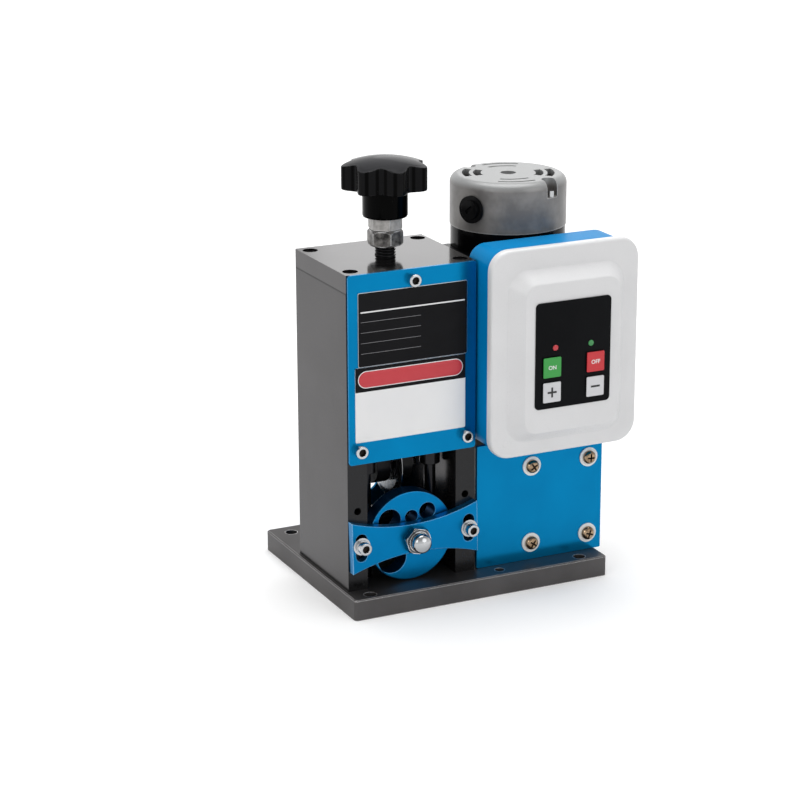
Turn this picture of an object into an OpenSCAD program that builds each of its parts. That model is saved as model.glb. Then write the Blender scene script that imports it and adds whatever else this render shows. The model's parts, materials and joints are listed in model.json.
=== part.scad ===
/* [Base plate] */
// Width of the base plate, left to right
base_w = 190; // [170:1:230]
// Depth of the base plate, front to back
base_d = 150; // [130:1:190]
// Thickness of the base plate
base_t = 14.5; // [13:0.5:20]
// Radius of the upright corners of the base plate
base_corner_r = 2.5; // [1:0.5:5]
// Width of the chamfer around the top edge of the base plate
base_edge = 0.8; // [0.4:0.1:1.5]
// Diameter of the four bench bolt holes
bench_hole_d = 8.5; // [6:0.1:9]
// Distance of the left bench holes from the left edge
bench_left = 14; // [10:0.5:18]
// Distance of the right bench holes from the right edge
bench_right = 18; // [10:0.5:18]
// Distance of the front bench holes from the front edge
bench_front = 7; // [6:0.5:8]
// Distance of the back bench holes from the back edge
bench_back = 12; // [8:0.5:20]
// Diameter of the extra hole in the front edge of the base
spare_hole_d = 6.6; // [5:0.1:8]
// Distance of the extra hole from the left edge of the base
spare_hole_left = 111.5; // [105:0.5:120]
// Distance of the extra hole from the front edge of the base
spare_hole_front = 9; // [7:0.5:10]

/* [Tower] */
// Outer width of the tower
tower_w = 93; // [90:0.5:96]
// Depth of the tower, front to back
tower_d = 80; // [76:1:90]
// Height of the tower's top face above the bench
tower_h = 230; // [226:1:240]
// Distance of the tower's left face from the base's left edge
tower_left = 3; // [1:0.5:4]
// Distance of the tower's front face from the base's front edge
tower_front = 17; // [16:0.5:19]
// Thickness of the two side plates
side_t = 14; // [12:0.5:14.5]
// Thickness of the top block
top_t = 12.5; // [11:0.5:16]
// Thickness of the front and back covers
cover_t = 2; // [1.5:0.1:3]
// Height of the front cover's lower edge above the bench
cover_z = 102.6; // [100:0.2:106]
// Height of the back cover's lower edge above the bench
back_z = 17; // [16:0.5:20]
// Distance of the wire outlet in the back cover from the tower's left face
outlet_left = 19; // [18:0.5:22]
// Width of the wire outlet
outlet_w = 40; // [34:0.5:44]
// Height of the wire outlet
outlet_h = 22; // [18:0.5:24]
// Height of the wire outlet's lower edge above the bench
outlet_z = 52; // [50:0.5:54]
// Distance of the covers' upper screw below the tower's top
cover_screw_top = 7.2; // [6.5:0.1:9]
// Height of the covers' lower screws above the front cover's lower edge
cover_screw_low = 9.4; // [8:0.1:11]
// Distance of the covers' lower screws inwards from the side plates' middle
cover_screw_side = 1; // [0:0.1:1.5]
// Distance of the top block's screws from its front and back edges
top_screw_in = 8.5; // [8:0.5:12]
// Distance of the base screws from the side plates' front and back edges
plate_screw_in = 12; // [10:0.5:13]
// How far the front cover stops short of the tower's sides
cover_inset = 0.5; // [0.2:0.1:2]
// How far the back cover stops short of the tower's sides and top
back_inset = 1.2; // [0.6:0.1:2]
// Radius of the covers' corners
cover_r = 2; // [1:0.5:4]

/* [Plates on the front cover] */
// Width of the dark rating plate, left bare
rating_w = 78.6; // [60:0.2:84]
// Height of the dark rating plate
rating_h = 49.5; // [30:0.5:50]
// Distance of the rating plate's top edge below the tower's top
rating_drop = 12; // [11:0.5:14]
// Width of the plain sticker under it
sticker_w = 79.6; // [60:0.2:84]
// Height of the plain sticker
sticker_h = 50.5; // [30:0.5:51]
// Gap between the rating plate and the sticker
sticker_gap = 0.3; // [0.2:0.1:1]
// How far the sticker sits to the left of the rating plate
sticker_left = 1.7; // [0:0.1:2.2]
// Thickness of both plates
rating_t = 0.5; // [0.3:0.1:0.8]

/* [Guide bracket] */
// Width of the bow-shaped guide bracket
bracket_w = 92; // [90:0.5:96]
// Thickness of the guide bracket
bracket_t = 6; // [5:0.5:9]
// Height of the bracket at its two ends
bracket_end_h = 36; // [32:0.5:36]
// Height of the bracket at its waist
bracket_waist_h = 20; // [19:0.5:26]
// Height of the bracket's middle above the bench
bracket_z = 47; // [46.5:0.1:48]
// Lean of the bracket as it is clamped, in degrees
bracket_lean = 1.2; // [0:0.1:1.5]
// Width of the two upright slots
slot_w = 8; // [7:0.1:9]
// Overall length of the two upright slots
slot_h = 19; // [17:0.5:20]
// Height of the spare tapped holes above the clamping screws
spare_tap_up = 22.3; // [20:0.1:24]
// Thread diameter of the clamping screws
clamp_d = 5; // [4:0.5:5]
// Outside diameter of the washers under the clamping screws
clamp_washer_d = 12; // [11:0.5:13]

/* [Guide disc] */
// Diameter of the guide disc
disc_d = 62; // [56:0.5:62]
// Thickness of the guide disc
disc_t = 12.5; // [10:0.5:13]
// Height of the disc's pivot above the bench
disc_z = 46; // [45.5:0.1:46.5]
// Gap between the bracket and the disc, filled by a spacer washer
disc_gap = 1.5; // [1:0.1:2]
// Diameter of the pivot bolt
pivot_d = 10; // [8:0.5:10]
// Width across the flats of the dome nut
dome_flats = 17; // [15:0.5:18]
// Diameters of the four wire holes, clockwise from the lower left
wire_hole_d = [20.5, 16, 9, 11.5];
// Distance of each wire hole from the pivot
wire_hole_r = [19.5, 20, 13.2, 19.8];
// Direction of each wire hole from the pivot, in degrees from the right
wire_hole_a = [225, 141, 88, 52];

/* [Feed roller and drive shaft] */
// Diameter of the feed roller
roller_d = 38; // [34:0.5:38]
// Width of the feed roller
roller_w = 30; // [20:1:40]
// Width of the smooth waist in the middle of the feed roller
roller_waist = 4; // [3:0.5:8]
// Number of grooves in the feed roller's knurl
roller_grooves = 40; // [24:1:60]
// Depth of the grooves
groove_depth = 0.8; // [0.4:0.1:1.5]
// Diameter of the drive shaft
shaft_d = 15; // [12:0.5:15]
// Height of the drive shaft's axis above the bench
shaft_z = 37; // [36:0.5:37.5]
// Outside diameter of the drive shaft's bearings
shaft_bearing_d = 28; // [26:0.5:30]
// Width of the drive shaft's bearings
shaft_bearing_w = 7; // [5:0.5:8]

/* [Blade and carriage] */
// Diameter of the round cutting blade
blade_d = 50; // [40:0.5:50]
// Thickness of the blade
blade_t = 2.5; // [2:0.1:3]
// Height of the wire gap between roller and blade
wire_gap = 7; // [6.8:0.1:8]
// Width of the slot that the blade turns in
blade_slot = 6; // [5:0.5:7]
// How far the blade's slot runs up into the carriage block
slot_depth = 12; // [10:0.5:14]
// Thickness of the two cheeks beside the blade
cheek_t = 10; // [8:0.5:11]
// Radius of the cheeks' round lower end
cheek_r = 14; // [12:0.5:16]
// Diameter of the blade's axle bolt
axle_d = 8; // [7:0.5:8]
// Width of the carriage block
carriage_w = 61; // [58:0.5:62]
// Depth of the carriage block
carriage_d = 46; // [44:0.5:48]
// Height of the carriage block above its lower face
carriage_h = 32; // [31:0.5:36]
// Diameter of the two guide rods
rod_d = 8; // [7:0.5:9]
// Distance between the two guide rods
rod_pitch = 48; // [47:0.5:49]
// Distance of the rods in front of the spindle
rod_forward = 17; // [16.5:0.5:17.5]
// Outside diameter of the stop collars on the rods
collar_d = 14; // [13:0.5:15]
// Height of the stop collars
collar_h = 9; // [8:0.5:10]

/* [Adjusting spindle] */
// Distance of the spindle's axis behind the tower's front face
spindle_back = 39; // [38.5:0.1:39.5]
// Diameter of the spindle's thread
spindle_d = 14; // [12:0.5:14]
// Diameter of the spindle's foot, held in the carriage
foot_d = 22; // [20:0.5:24]
// Thickness of the spindle's foot
foot_t = 5.7; // [5:0.1:6]
// Bare thread showing between the tower and the lock nut
thread_shown = 7; // [6.8:0.1:10]
// Height of the lock nut
nut_h = 11; // [8:0.5:12]
// Width across the flats of the lock nut
nut_flats = 21; // [19:0.5:24]
// Height of the hexagon collar under the knob
hex_h = 8; // [6:0.5:10]
// Width across the flats of the hexagon collar
hex_flats = 20; // [18:0.5:22]
// Diameter of the knob's neck
neck_d = 30; // [26:0.5:34]
// Height of the knob's neck
neck_h = 18.5; // [16:0.5:24]
// Overall diameter of the star knob
knob_d = 57.5; // [52:0.5:60]
// Thickness of the knob's lobes
lobe_h = 16; // [12:0.5:20]
// Height of the dome on top of the knob
dome_h = 5; // [3:0.5:7]
// Number of lobes
lobes = 7; // [5:1:9]
// Radius of each lobe
lobe_r = 7; // [5:0.5:8]

/* [Gearbox and front plate] */
// How far the blue gearbox plate stands past the base's right edge
gear_plate_over = 4.2; // [0:0.1:6]
// Thickness of the blue gearbox plate
gear_plate_t = 3; // [2:0.5:3]
// Gap between the tower and the blue gearbox plate
gear_plate_gap = 2.2; // [1:0.1:3]
// Distance of the gearbox's left side from the tower
gearbox_left = 34.5; // [32:0.5:35]
// Distance of the gearbox's right side from the base's right edge
gearbox_right = 0.5; // [0:0.1:1]
// Depth of the gearbox housing
gearbox_d = 85; // [80:1:95]
// Distance of the gearbox's foot screws from its left and right sides
gear_foot_in = 6; // [5.5:0.1:6.5]
// Distance of the gearbox's foot screws from its front and back
gear_foot_y = 12; // [6:0.5:14]
// Thickness of the gearbox's floor
gearbox_floor = 6; // [5:0.5:7]
// Wall thickness of the gearbox housing
gearbox_wall = 9; // [9:0.5:10]
// Height of the gearbox lid's lower face above the bench
lid_z = 90; // [86:1:92]
// Thickness of the gearbox lid
lid_t = 11.5; // [10:0.5:12]
// Distance of the left gearbox screws from the gearbox's left side
gear_screw_left = 8.9; // [6:0.1:10]
// Distance of the right gearbox screws from the gearbox's right side
gear_screw_right = 6.1; // [6:0.1:10]
// Vertical distance between the gearbox screws
gear_screw_z = 55; // [50:0.5:58]
// Height of the lower gearbox screws above the bench
gear_screw_low = 27; // [24:0.5:28]
// Outside diameter of the white washers under the gearbox screws
gear_washer_d = 13.5; // [13:0.5:16]
// Number of teeth on the worm wheel
wheel_teeth = 26; // [24:1:28]
// Module of the worm drive
gear_module = 1; // [0.95:0.05:1]
// Width of the worm wheel's teeth
wheel_w = 7; // [6:0.5:8]

/* [Motor] */
// Diameter of the motor
motor_d = 79; // [74:0.5:80]
// Distance of the motor's axis behind the base's front edge
motor_front = 75; // [74.5:0.1:76]
// Gap between the tower and the motor
motor_gap = 15; // [14:0.1:16]
// Height of the joint between the black body and the silver end cap
motor_cap_z = 237.5; // [234:0.5:240]
// Height of the silver end cap
motor_cap_h = 34; // [30:0.5:38]
// Radius of the rounded top edge of the end cap
motor_cap_r = 6; // [3:0.5:8]
// Wall thickness of the motor's body
motor_wall = 5; // [4:0.5:6]
// Outside diameter of the black clamp ring around the motor
clamp_ring_d = 93; // [88:0.5:94]
// Height of the clamp ring's top face
clamp_ring_z = 223; // [218:0.5:224]
// Thickness of the clamp ring
clamp_ring_t = 8; // [6:0.5:10]
// How far the clamp reaches behind the motor's axis
clamp_reach = 16; // [10:0.5:20]
// Diameter of the motor's shaft
rotor_d = 10; // [9:0.5:10]
// Diameter of the brush caps
brush_cap_d = 18.5; // [16:0.5:20]
// Direction of the left brush cap, in degrees from the right
brush_angle = 205; // [190:1:220]

/* [Control box] */
// Width of the white cover
face_w = 110; // [104:0.5:114]
// Height of the white cover
face_h = 141; // [136:0.5:141]
// Height of the white cover's lower edge above the bench
face_z = 99; // [98:0.5:99.5]
// Radius of the white cover's corners
face_r = 14; // [10:0.5:18]
// Distance of the white cover's left edge from the tower's right face
face_left = -1.2; // [-1.5:0.1:0]
// Distance of the white cover's rim in front of the tower's front face
face_forward = 25; // [23:0.5:30]
// Depth of the white cover's rim
rim_t = 6; // [4:0.5:8]
// Depth of the raised middle of the white cover
raised_t = 10; // [8:0.5:12]
// Width of the rim beside the raised middle
rim_side = 12; // [10:0.5:14]
// Width of the rim under the raised middle
rim_low = 10; // [9:0.5:12]
// Width of the rim above the raised middle
rim_top = 14; // [10:0.5:16]
// Depth of the blue box behind the rim
box_depth = 32; // [30:0.5:33]
// How far the blue box stays inside the white cover's edge
box_inset = 2.5; // [2:0.1:4]
// Wall thickness of the blue box
box_wall = 2; // [1.5:0.1:3]
// Width of the black control panel
panel_w = 56; // [50:0.5:60]
// Height of the black control panel
panel_h = 72; // [66:0.5:76]
// Thickness of the black control panel
panel_t = 0.8; // [0.5:0.1:1]
// Width of the four push buttons
button_w = 13; // [10:0.5:14]
// Height of the four push buttons
button_h = 13.5; // [10:0.5:14]
// Distance between the left and the right buttons
button_pitch = 32.5; // [30:0.5:36]
// Distance of the upper buttons below the panel's middle
button_upper = 7.7; // [6:0.1:9]
// Distance of the lower buttons below the panel's middle
button_lower = 24.6; // [24:0.1:26]
// How far the buttons stand out of the panel
button_out = 1.6; // [1.4:0.1:2]
// Diameter of the indicator lamps
lamp_d = 4; // [3:0.5:5]
// Distance between the two indicator lamps
lamp_pitch = 26.6; // [24:0.2:30]
// Height of the lamps above the panel's middle
lamp_up = 5; // [4:0.2:8]
// Width across the flats of the cable gland in the back of the box
gland_d = 14; // [12:0.5:14]
// Distance of the cable gland from the white cover's right edge
gland_right = 11.3; // [11:0.1:12]
// Height of the cable gland above the white cover's lower edge
gland_up = 24; // [22:0.5:80]

/* [Clearances] */
// Radial clearance of shafts, pins and rods in their bores
run_gap = 0.05; // [0.03:0.01:0.08]
// Gap between moving pieces and what they pass
move_gap = 0.3; // [0.2:0.05:0.3]
// Gap between a screw and its hole
screw_gap = 0.1; // [0.05:0.01:0.15]

/* [Hidden] */
$fn = 64;
// How far a cut runs past the face it opens, and how far joined shapes overlap
cut = 1;
eps = 0.01;

// Threads and head diameters of the screws, and the plain washers' thickness
m3 = 3;
m4 = 4;
m5 = 5;
m6 = 6;
m3_head_d = 4.4;
m4_head_d = 7;
m5_head_d = 8.5;
m6_head_d = 10;
washer_t = 1;

// Base plate and its screws
base_x = -base_w / 2;
base_y = -base_d / 2;
bench_x0 = base_x + bench_left;
bench_x1 = -base_x - bench_right;
bench_y0 = base_y + bench_front;
bench_y1 = -base_y - bench_back;
base_screw_seat = 6.5;
base_screw_grip = 12;

// Tower: its faces, its inner faces and the places of its screws
tower_x0 = base_x + tower_left;
tower_x1 = tower_x0 + tower_w;
tower_x = (tower_x0 + tower_x1) / 2;
tower_y0 = base_y + tower_front;
tower_y1 = tower_y0 + tower_d;
inner_x0 = tower_x0 + side_t;
inner_x1 = tower_x1 - side_t;
top_z = tower_h - top_t;
side_xs = [tower_x0 + side_t / 2, tower_x1 - side_t / 2];
top_screw_ys = [tower_y0 + top_screw_in, tower_y1 - top_screw_in];
top_screw_seat = tower_h - 8;
top_screw_len = 18;
cover_screw_len = 11;
outlet_r = 8;
cover_screws_at = [
    [tower_x, tower_h - cover_screw_top],
    [side_xs[0] + cover_screw_side, cover_z + cover_screw_low],
    [side_xs[1] - cover_screw_side, cover_z + cover_screw_low]
];
rating_y = tower_y0 - cover_t - rating_t;
rating_z = tower_h - rating_drop - rating_h;
sticker_z = rating_z - sticker_gap - sticker_h;
sticker_x = tower_x - sticker_left - sticker_w / 2;

// Spindle, carriage and blade, from the roller upwards
spindle_y = tower_y0 + spindle_back;
roller_r = roller_d / 2;
roller_top = shaft_z + roller_r;
blade_r = blade_d / 2;
blade_z = roller_top + wire_gap + blade_r;
slot_roof = blade_z + blade_r + 3;
carriage_z = slot_roof - slot_depth;
carriage_top = carriage_z + carriage_h;
rod_y = spindle_y - rod_forward;
rod_xs = [tower_x - rod_pitch / 2, tower_x + rod_pitch / 2];
rod_seat = 5;
rod_foot_z = base_t - rod_seat;
rod_head_z = top_z + rod_seat;
blade_rest_gap = 0.5;
travel_down = wire_gap - blade_rest_gap;
collar_top = carriage_z - travel_down - move_gap;
axle_half = blade_slot / 2 + cheek_t;
axle_flats = 13;
axle_head_h = 5;
axle_nut_h = 6;
keeper_t = 4;
keeper_w = 38;
keeper_screw_at = 14;
keeper_screw_grip = 7;
pocket_z = carriage_top - foot_t - 2 * move_gap;
foot_z = pocket_z + move_gap;
nut_z = tower_h + thread_shown;
hex_z = nut_z + nut_h;
neck_z = hex_z + hex_h;
lobe_z = neck_z + neck_h;
knob_bore = 15;
nut_turn = 23;
collar_turn = 20;
knob_turn = -121 + 180 / lobes;

// Guide bracket and disc
bracket_y0 = tower_y0 - bracket_t;
disc_y0 = tower_y0 + disc_gap;
disc_y1 = disc_y0 + disc_t;
slot_pitch = tower_w - side_t;
clamp_z = bracket_z + 0.5;
clamp_grip = 13;
spring_washer_d = 9.2;
clamp_stack = washer_t + 1.4;
pivot_head_h = 4;
pivot_flats = 15;
dome_turn = 17;
dome_nut_h = 14;
dome_face_h = 0.6;
dome_hex_h = 4.6;
dome_r = 6.7;
dome_rise = 4.4;

// Gearbox, motor and rotor
motor_x = tower_x1 + motor_gap + motor_d / 2;
motor_y = base_y + motor_front;
motor_r = motor_d / 2;
body_r = motor_r - 0.5;
motor_top = motor_cap_z + motor_cap_h;
wheel_pitch_r = wheel_teeth * gear_module / 2;
worm_pitch_r = motor_y - spindle_y - wheel_pitch_r;
worm_lead = PI * gear_module;
worm_len = 16;
hub_len = 6;
worm_phase = 90 - 180 * worm_len / worm_lead;
gear_plate_x0 = tower_x1 + gear_plate_gap;
gear_y0 = tower_y0 + gear_plate_t;
gear_y1 = gear_y0 + gearbox_d;
gear_x0 = tower_x1 + gearbox_left;
gear_x1 = -base_x - gearbox_right;
gear_screw_xs = [gear_x0 + gear_screw_left, gear_x1 - gear_screw_right];
gear_screw_zs = [gear_screw_low, gear_screw_low + gear_screw_z];
gear_head_d = 9.2;
gear_head_h = 3.4;
floor_z = base_t + gearbox_floor;
lid_top = lid_z + lid_t;
lid_tap = 12;
lid_screw_in = 6;
lid_screw_ys = [gear_y0 + lid_screw_in, gear_y1 - lid_screw_in];
lid_screw_xs = [gear_x0 + gearbox_wall / 2, gear_x1 - gearbox_wall / 2];
shaft_hole_d = shaft_d + 2;
low_bearing_d = 19;
low_bearing_w = 4;
lid_bearing_d = 26;
lid_bearing_w = 8;
cap_bearing_d = 22;
cap_bearing_w = 8;
lid_hole_d = 18;
rotor_foot = floor_z - low_bearing_w + move_gap;
rotor_head = motor_top - 6;
cap_wall = 4;
clamp_pad_w = 48;
armature_d = 50;
winding_d = 38;
winding_h = 12;
arm_z0 = lid_top + 28;
arm_z1 = motor_cap_z - 27;
magnet_gap = 1;
brush_z = motor_cap_z + 15.7;
commutator_d = 24;
commutator_h = 12;
vent_angle = -26;
notch_angle = -68;
notch_h = 11.2;
notch_w = 9.4;
notch_turn = -90 - notch_angle;
notch_in = 3.6;
notch_wall = 1.5;
end_screw_head_h = 4.2;
end_screw_r = motor_r - 2.5;
end_screw_len = motor_cap_h;
brush_slot = 6.4;
brush_slot_turn = -50;
brush_holder_d = brush_cap_d - 6;
brush_holder_len = 8;
base_screws_at = [
    for (x = side_xs) for (y = [tower_y0 + plate_screw_in, tower_y1 - plate_screw_in]) [x, y],
    for (x = [gear_x0 + gear_foot_in, gear_x1 - gear_foot_in])
        for (y = [gear_y0 + gear_foot_y, gear_y1 - gear_foot_y]) [x, y]
];

// Control box
face_x0 = tower_x1 + face_left;
face_x1 = face_x0 + face_w;
face_x = (face_x0 + face_x1) / 2;
face_y = tower_y0 - face_forward;
raised_y = face_y - raised_t;
raised_x0 = face_x0 + rim_side;
raised_w = face_w - 2 * rim_side;
raised_z0 = face_z + rim_low;
raised_h = face_h - rim_low - rim_top;
slope = 8;
cover_wall = 3;
box_y0 = face_y + rim_t;
box_y1 = box_y0 + box_depth;
box_z0 = face_z + box_inset;
panel_z = face_z + face_h / 2;
panel_y = raised_y - panel_t;
button_xs = [face_x - button_pitch / 2, face_x + button_pitch / 2];
button_zs = [panel_z - button_upper, panel_z - button_lower];
button_stem = 5;
button_hole = button_stem + 1;
button_travel = 0.8;
panel_gap = 0.1;
button_cap_t = button_out - button_travel - panel_gap;
lamp_xs = [face_x - lamp_pitch / 2, face_x + lamp_pitch / 2];
lamp_z = panel_z + lamp_up;
board_y = raised_y + 9;
board_t = 1.6;
board_in = 2;
boss_d = 6;
gland_x = face_x1 - gland_right;
gland_z = face_z + gland_up;
gland_bore = 6.5;
gland_hex_h = 5;
gland_len = 15;
gland_in = 5;
gland_neck_d = gland_d - 3;

// A flat outline with round corners, drawn with true arcs
module round_outline(w, h, r) {
    union() {
        translate([r, 0]) square([w - 2 * r, h]);
        translate([0, r]) square([w, h - 2 * r]);
        for (x = [r, w - r], y = [r, h - r]) translate([x, y]) circle(r = r);
    }
}

// A plate that stands upright: width along x, height along z, from y back by t
module upright_plate(x, y, z, w, t, h, r, fn = 64) {
    translate([x, y + t, z]) rotate([90, 0, 0]) linear_extrude(t) round_outline(w, h, r, $fn = fn);
}

// A round bar or bore along y, from y0 back to y1
module y_bar(x, z, y0, y1, d, fn = 64) {
    translate([x, y1, z]) rotate([90, 0, 0]) cylinder(d = d, h = y1 - y0, $fn = fn);
}

// A round bar or bore along x, from x0 to x1
module x_bar(y, z, x0, x1, d, fn = 64) {
    translate([x0, y, z]) rotate([0, 90, 0]) cylinder(d = d, h = x1 - x0, $fn = fn);
}

// An upright round bar or bore
module z_bar(x, y, z0, z1, d, fn = 64) {
    translate([x, y, z0]) cylinder(d = d, h = z1 - z0, $fn = fn);
}

// An upright ring
module z_ring(x, y, z0, z1, outer, inner) {
    difference() {
        z_bar(x, y, z0, z1, outer);
        z_bar(x, y, z0 - cut, z1 + cut, inner);
    }
}

// A hexagon of the given width across flats
module hex_bar(flats, h) {
    cylinder(d = flats / cos(30), h = h, $fn = 6);
}

// Socket head screw: the shank points down from the head's seat at z = 0
module socket_screw(d, len, head_d) {
    difference() {
        union() {
            cylinder(d = head_d, h = d);
            translate([0, 0, -len]) cylinder(d = d, h = len + eps);
        }
        translate([0, 0, d * 0.45]) hex_bar(d * 0.8, d);
    }
}

// Pan head screw with a cross recess, its shank along -z
module pan_screw(d, len, head_d, head) {
    difference() {
        union() {
            translate([0, 0, -len]) cylinder(d = d, h = len + eps);
            rotate_extrude() polygon([[0, 0], [head_d / 2, 0], [head_d / 2, head * 0.45],
                [head_d * 0.4, head * 0.85], [head_d * 0.22, head], [0, head]]);
        }
        for (a = [0, 90]) {
            rotate([0, 0, a]) translate([-head_d * 0.28, -head_d * 0.06, head * 0.35])
                cube([head_d * 0.56, head_d * 0.12, head]);
        }
    }
}

// A washer that stands in front of the face at y
module washer(x, y, z, outer, inner) {
    difference() {
        y_bar(x, z, y - washer_t, y, outer);
        y_bar(x, z, y - washer_t - cut, y + cut, inner);
    }
}

// Puts a screw's head seat on a face that looks forwards
module facing_front(x, y, z) {
    translate([x, y, z]) rotate([90, 0, 0]) children();
}

// Puts a screw's head seat on a face that looks backwards
module facing_back(x, y, z) {
    translate([x, y, z]) rotate([-90, 0, 0]) children();
}

module base_plate() {
    color("#4b4b4d") difference() {
        union() {
            translate([base_x, base_y, 0]) linear_extrude(base_t - base_edge)
                round_outline(base_w, base_d, base_corner_r);
            hull() {
                translate([base_x, base_y, base_t - base_edge - eps]) linear_extrude(eps)
                    round_outline(base_w, base_d, base_corner_r, $fn = 32);
                translate([base_x + base_edge, base_y + base_edge, base_t - eps]) linear_extrude(eps)
                    round_outline(base_w - 2 * base_edge, base_d - 2 * base_edge,
                        base_corner_r - base_edge / 2, $fn = 32);
            }
        }
        for (x = [bench_x0, bench_x1], y = [bench_y0, bench_y1]) {
            z_bar(x, y, -cut, base_t + cut, bench_hole_d);
        }
        z_bar(base_x + spare_hole_left, base_y + spare_hole_front, -cut, base_t + cut, spare_hole_d);
        for (p = base_screws_at) {
            z_bar(p[0], p[1], -cut, base_t + cut, m6 + 2 * screw_gap);
            z_bar(p[0], p[1], -cut, base_screw_seat, m6_head_d + 2 * screw_gap);
        }
        for (x = rod_xs) z_bar(x, rod_y, rod_foot_z, base_t + cut, rod_d + 2 * run_gap);
    }
}

module base_screws() {
    color("#2a2a2c") for (p = base_screws_at) {
        translate([p[0], p[1], base_screw_seat]) rotate([180, 0, 0])
            socket_screw(m6, base_t - base_screw_seat + base_screw_grip, m6_head_d);
    }
}

// Seat of one of the drive shaft's bearings, from x0 to the right
module bearing_seat(x0) {
    x_bar(spindle_y, shaft_z, x0, x0 + shaft_bearing_w, shaft_bearing_d + 2 * run_gap);
}

// One side plate from x0 to the right, with its bearing's seat at pocket_x
module side_plate(x0, pocket_x) {
    difference() {
        translate([x0, tower_y0, base_t]) cube([side_t, tower_d, top_z - base_t]);
        for (p = base_screws_at) {
            z_bar(p[0], p[1], base_t - cut, base_t + base_screw_grip + cut, m6 + 2 * screw_gap);
        }
        for (y = top_screw_ys) {
            z_bar(x0 + side_t / 2, y, top_screw_seat - top_screw_len - cut, top_z + cut,
                m6 + 2 * screw_gap);
        }
        for (p = cover_screws_at) {
            for (y = [tower_y0 - cut, tower_y1 - cover_screw_len]) {
                y_bar(p[0], p[1], y, y + cover_screw_len + cut, m5 + 2 * screw_gap);
            }
        }
        y_bar(x0 + side_t / 2, clamp_z, tower_y0 - cut, tower_y0 + clamp_grip + cut,
            clamp_d + 2 * screw_gap);
        y_bar(x0 + side_t / 2, clamp_z + spare_tap_up, tower_y0 - cut, tower_y0 + clamp_grip, clamp_d);
        bearing_seat(pocket_x);
    }
}

module left_side_plate() {
    color("#5a5a5c") side_plate(tower_x0, inner_x0 - shaft_bearing_w);
}

module right_side_plate() {
    color("#5a5a5c") difference() {
        side_plate(inner_x1, inner_x1);
        x_bar(spindle_y, shaft_z, inner_x1 - cut, tower_x1 + cut, shaft_hole_d);
    }
}

module top_block() {
    color("#5e5e60") difference() {
        translate([tower_x0, tower_y0, top_z]) cube([tower_w, tower_d, top_t]);
        z_bar(tower_x, spindle_y, top_z - cut, tower_h + cut, spindle_d + 2 * run_gap);
        for (x = side_xs, y = top_screw_ys) {
            z_bar(x, y, top_z - cut, tower_h + cut, m6 + 2 * screw_gap);
            z_bar(x, y, top_screw_seat, tower_h + cut, m6_head_d + 2 * screw_gap);
        }
        for (x = rod_xs) z_bar(x, rod_y, top_z - cut, rod_head_z, rod_d + 2 * run_gap);
        for (y = [tower_y0 - cut, tower_y1 - cover_screw_len]) {
            y_bar(cover_screws_at[0][0], cover_screws_at[0][1], y, y + cover_screw_len + cut,
                m5 + 2 * screw_gap);
        }
    }
}

module top_block_screws() {
    color("#2a2a2c") for (x = side_xs, y = top_screw_ys) {
        translate([x, y, top_screw_seat]) socket_screw(m6, top_screw_len, m6_head_d);
    }
}

module tower_cover(y, z0, z1, inset) {
    difference() {
        upright_plate(tower_x0 + inset, y, z0, tower_w - 2 * inset, cover_t, z1 - z0, cover_r);
        for (p = cover_screws_at) {
            y_bar(p[0], p[1], y - cut, y + cover_t + cut, m5 + 2 * screw_gap);
        }
    }
}

module front_cover() {
    color("#0078b8") tower_cover(tower_y0 - cover_t, cover_z, tower_h, cover_inset);
}

// The wire leaves the tower through the back cover's outlet
module back_cover() {
    color("#0078b8") difference() {
        tower_cover(tower_y1, back_z, tower_h - back_inset, back_inset);
        upright_plate(tower_x0 + outlet_left, tower_y1 - cut, outlet_z, outlet_w, cover_t + 2 * cut,
            outlet_h, outlet_r);
    }
}

module cover_screws() {
    color("#c8c8ca") for (p = cover_screws_at) {
        facing_front(p[0], tower_y0 - cover_t, p[1])
            socket_screw(m5, cover_screw_len, m5_head_d);
        facing_back(p[0], tower_y1 + cover_t, p[1])
            socket_screw(m5, cover_screw_len, m5_head_d);
    }
}

module rating_plate() {
    color("#1c1c1e") upright_plate(tower_x - rating_w / 2, rating_y, rating_z,
        rating_w, rating_t, rating_h, 1);
}

module plain_sticker() {
    color("#ececec") upright_plate(sticker_x, rating_y, sticker_z, sticker_w, rating_t,
        sticker_h, 1);
}

module guide_rods() {
    color("#c4c6c8") for (x = rod_xs) {
        z_bar(x, rod_y, rod_foot_z + screw_gap, rod_head_z - screw_gap, rod_d);
    }
}

module stop_collars() {
    color("#b8babc") for (x = rod_xs) {
        z_ring(x, rod_y, collar_top - collar_h, collar_top, collar_d, rod_d + 2 * run_gap);
    }
}

module blade_carriage() {
    color("#2c2c2e") difference() {
        union() {
            translate([tower_x - carriage_w / 2, rod_y - rod_d, carriage_z])
                cube([carriage_w, carriage_d, carriage_h]);
            for (side = [-1, 1]) {
                x0 = tower_x + side * (blade_slot + cheek_t) / 2 - cheek_t / 2;
                x_bar(spindle_y, blade_z, x0, x0 + cheek_t, 2 * cheek_r);
                translate([x0, spindle_y - cheek_r, blade_z])
                    cube([cheek_t, 2 * cheek_r, carriage_z - blade_z + cut]);
            }
        }
        translate([tower_x - blade_slot / 2, spindle_y - blade_r - 2, blade_z - blade_r])
            cube([blade_slot, 2 * blade_r + 4, slot_roof - blade_z + blade_r]);
        x_bar(spindle_y, blade_z, tower_x - carriage_w, tower_x + carriage_w, axle_d + 2 * run_gap);
        z_bar(tower_x, spindle_y, pocket_z, carriage_top + cut, foot_d + 2 * move_gap);
        for (x = rod_xs) z_bar(x, rod_y, carriage_z - cut, carriage_top + cut, rod_d + 2 * run_gap);
        at_keeper_screws() z_bar(0, 0, carriage_top - keeper_screw_grip - cut, carriage_top + cut,
            m4 + 2 * screw_gap);
    }
}

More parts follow.
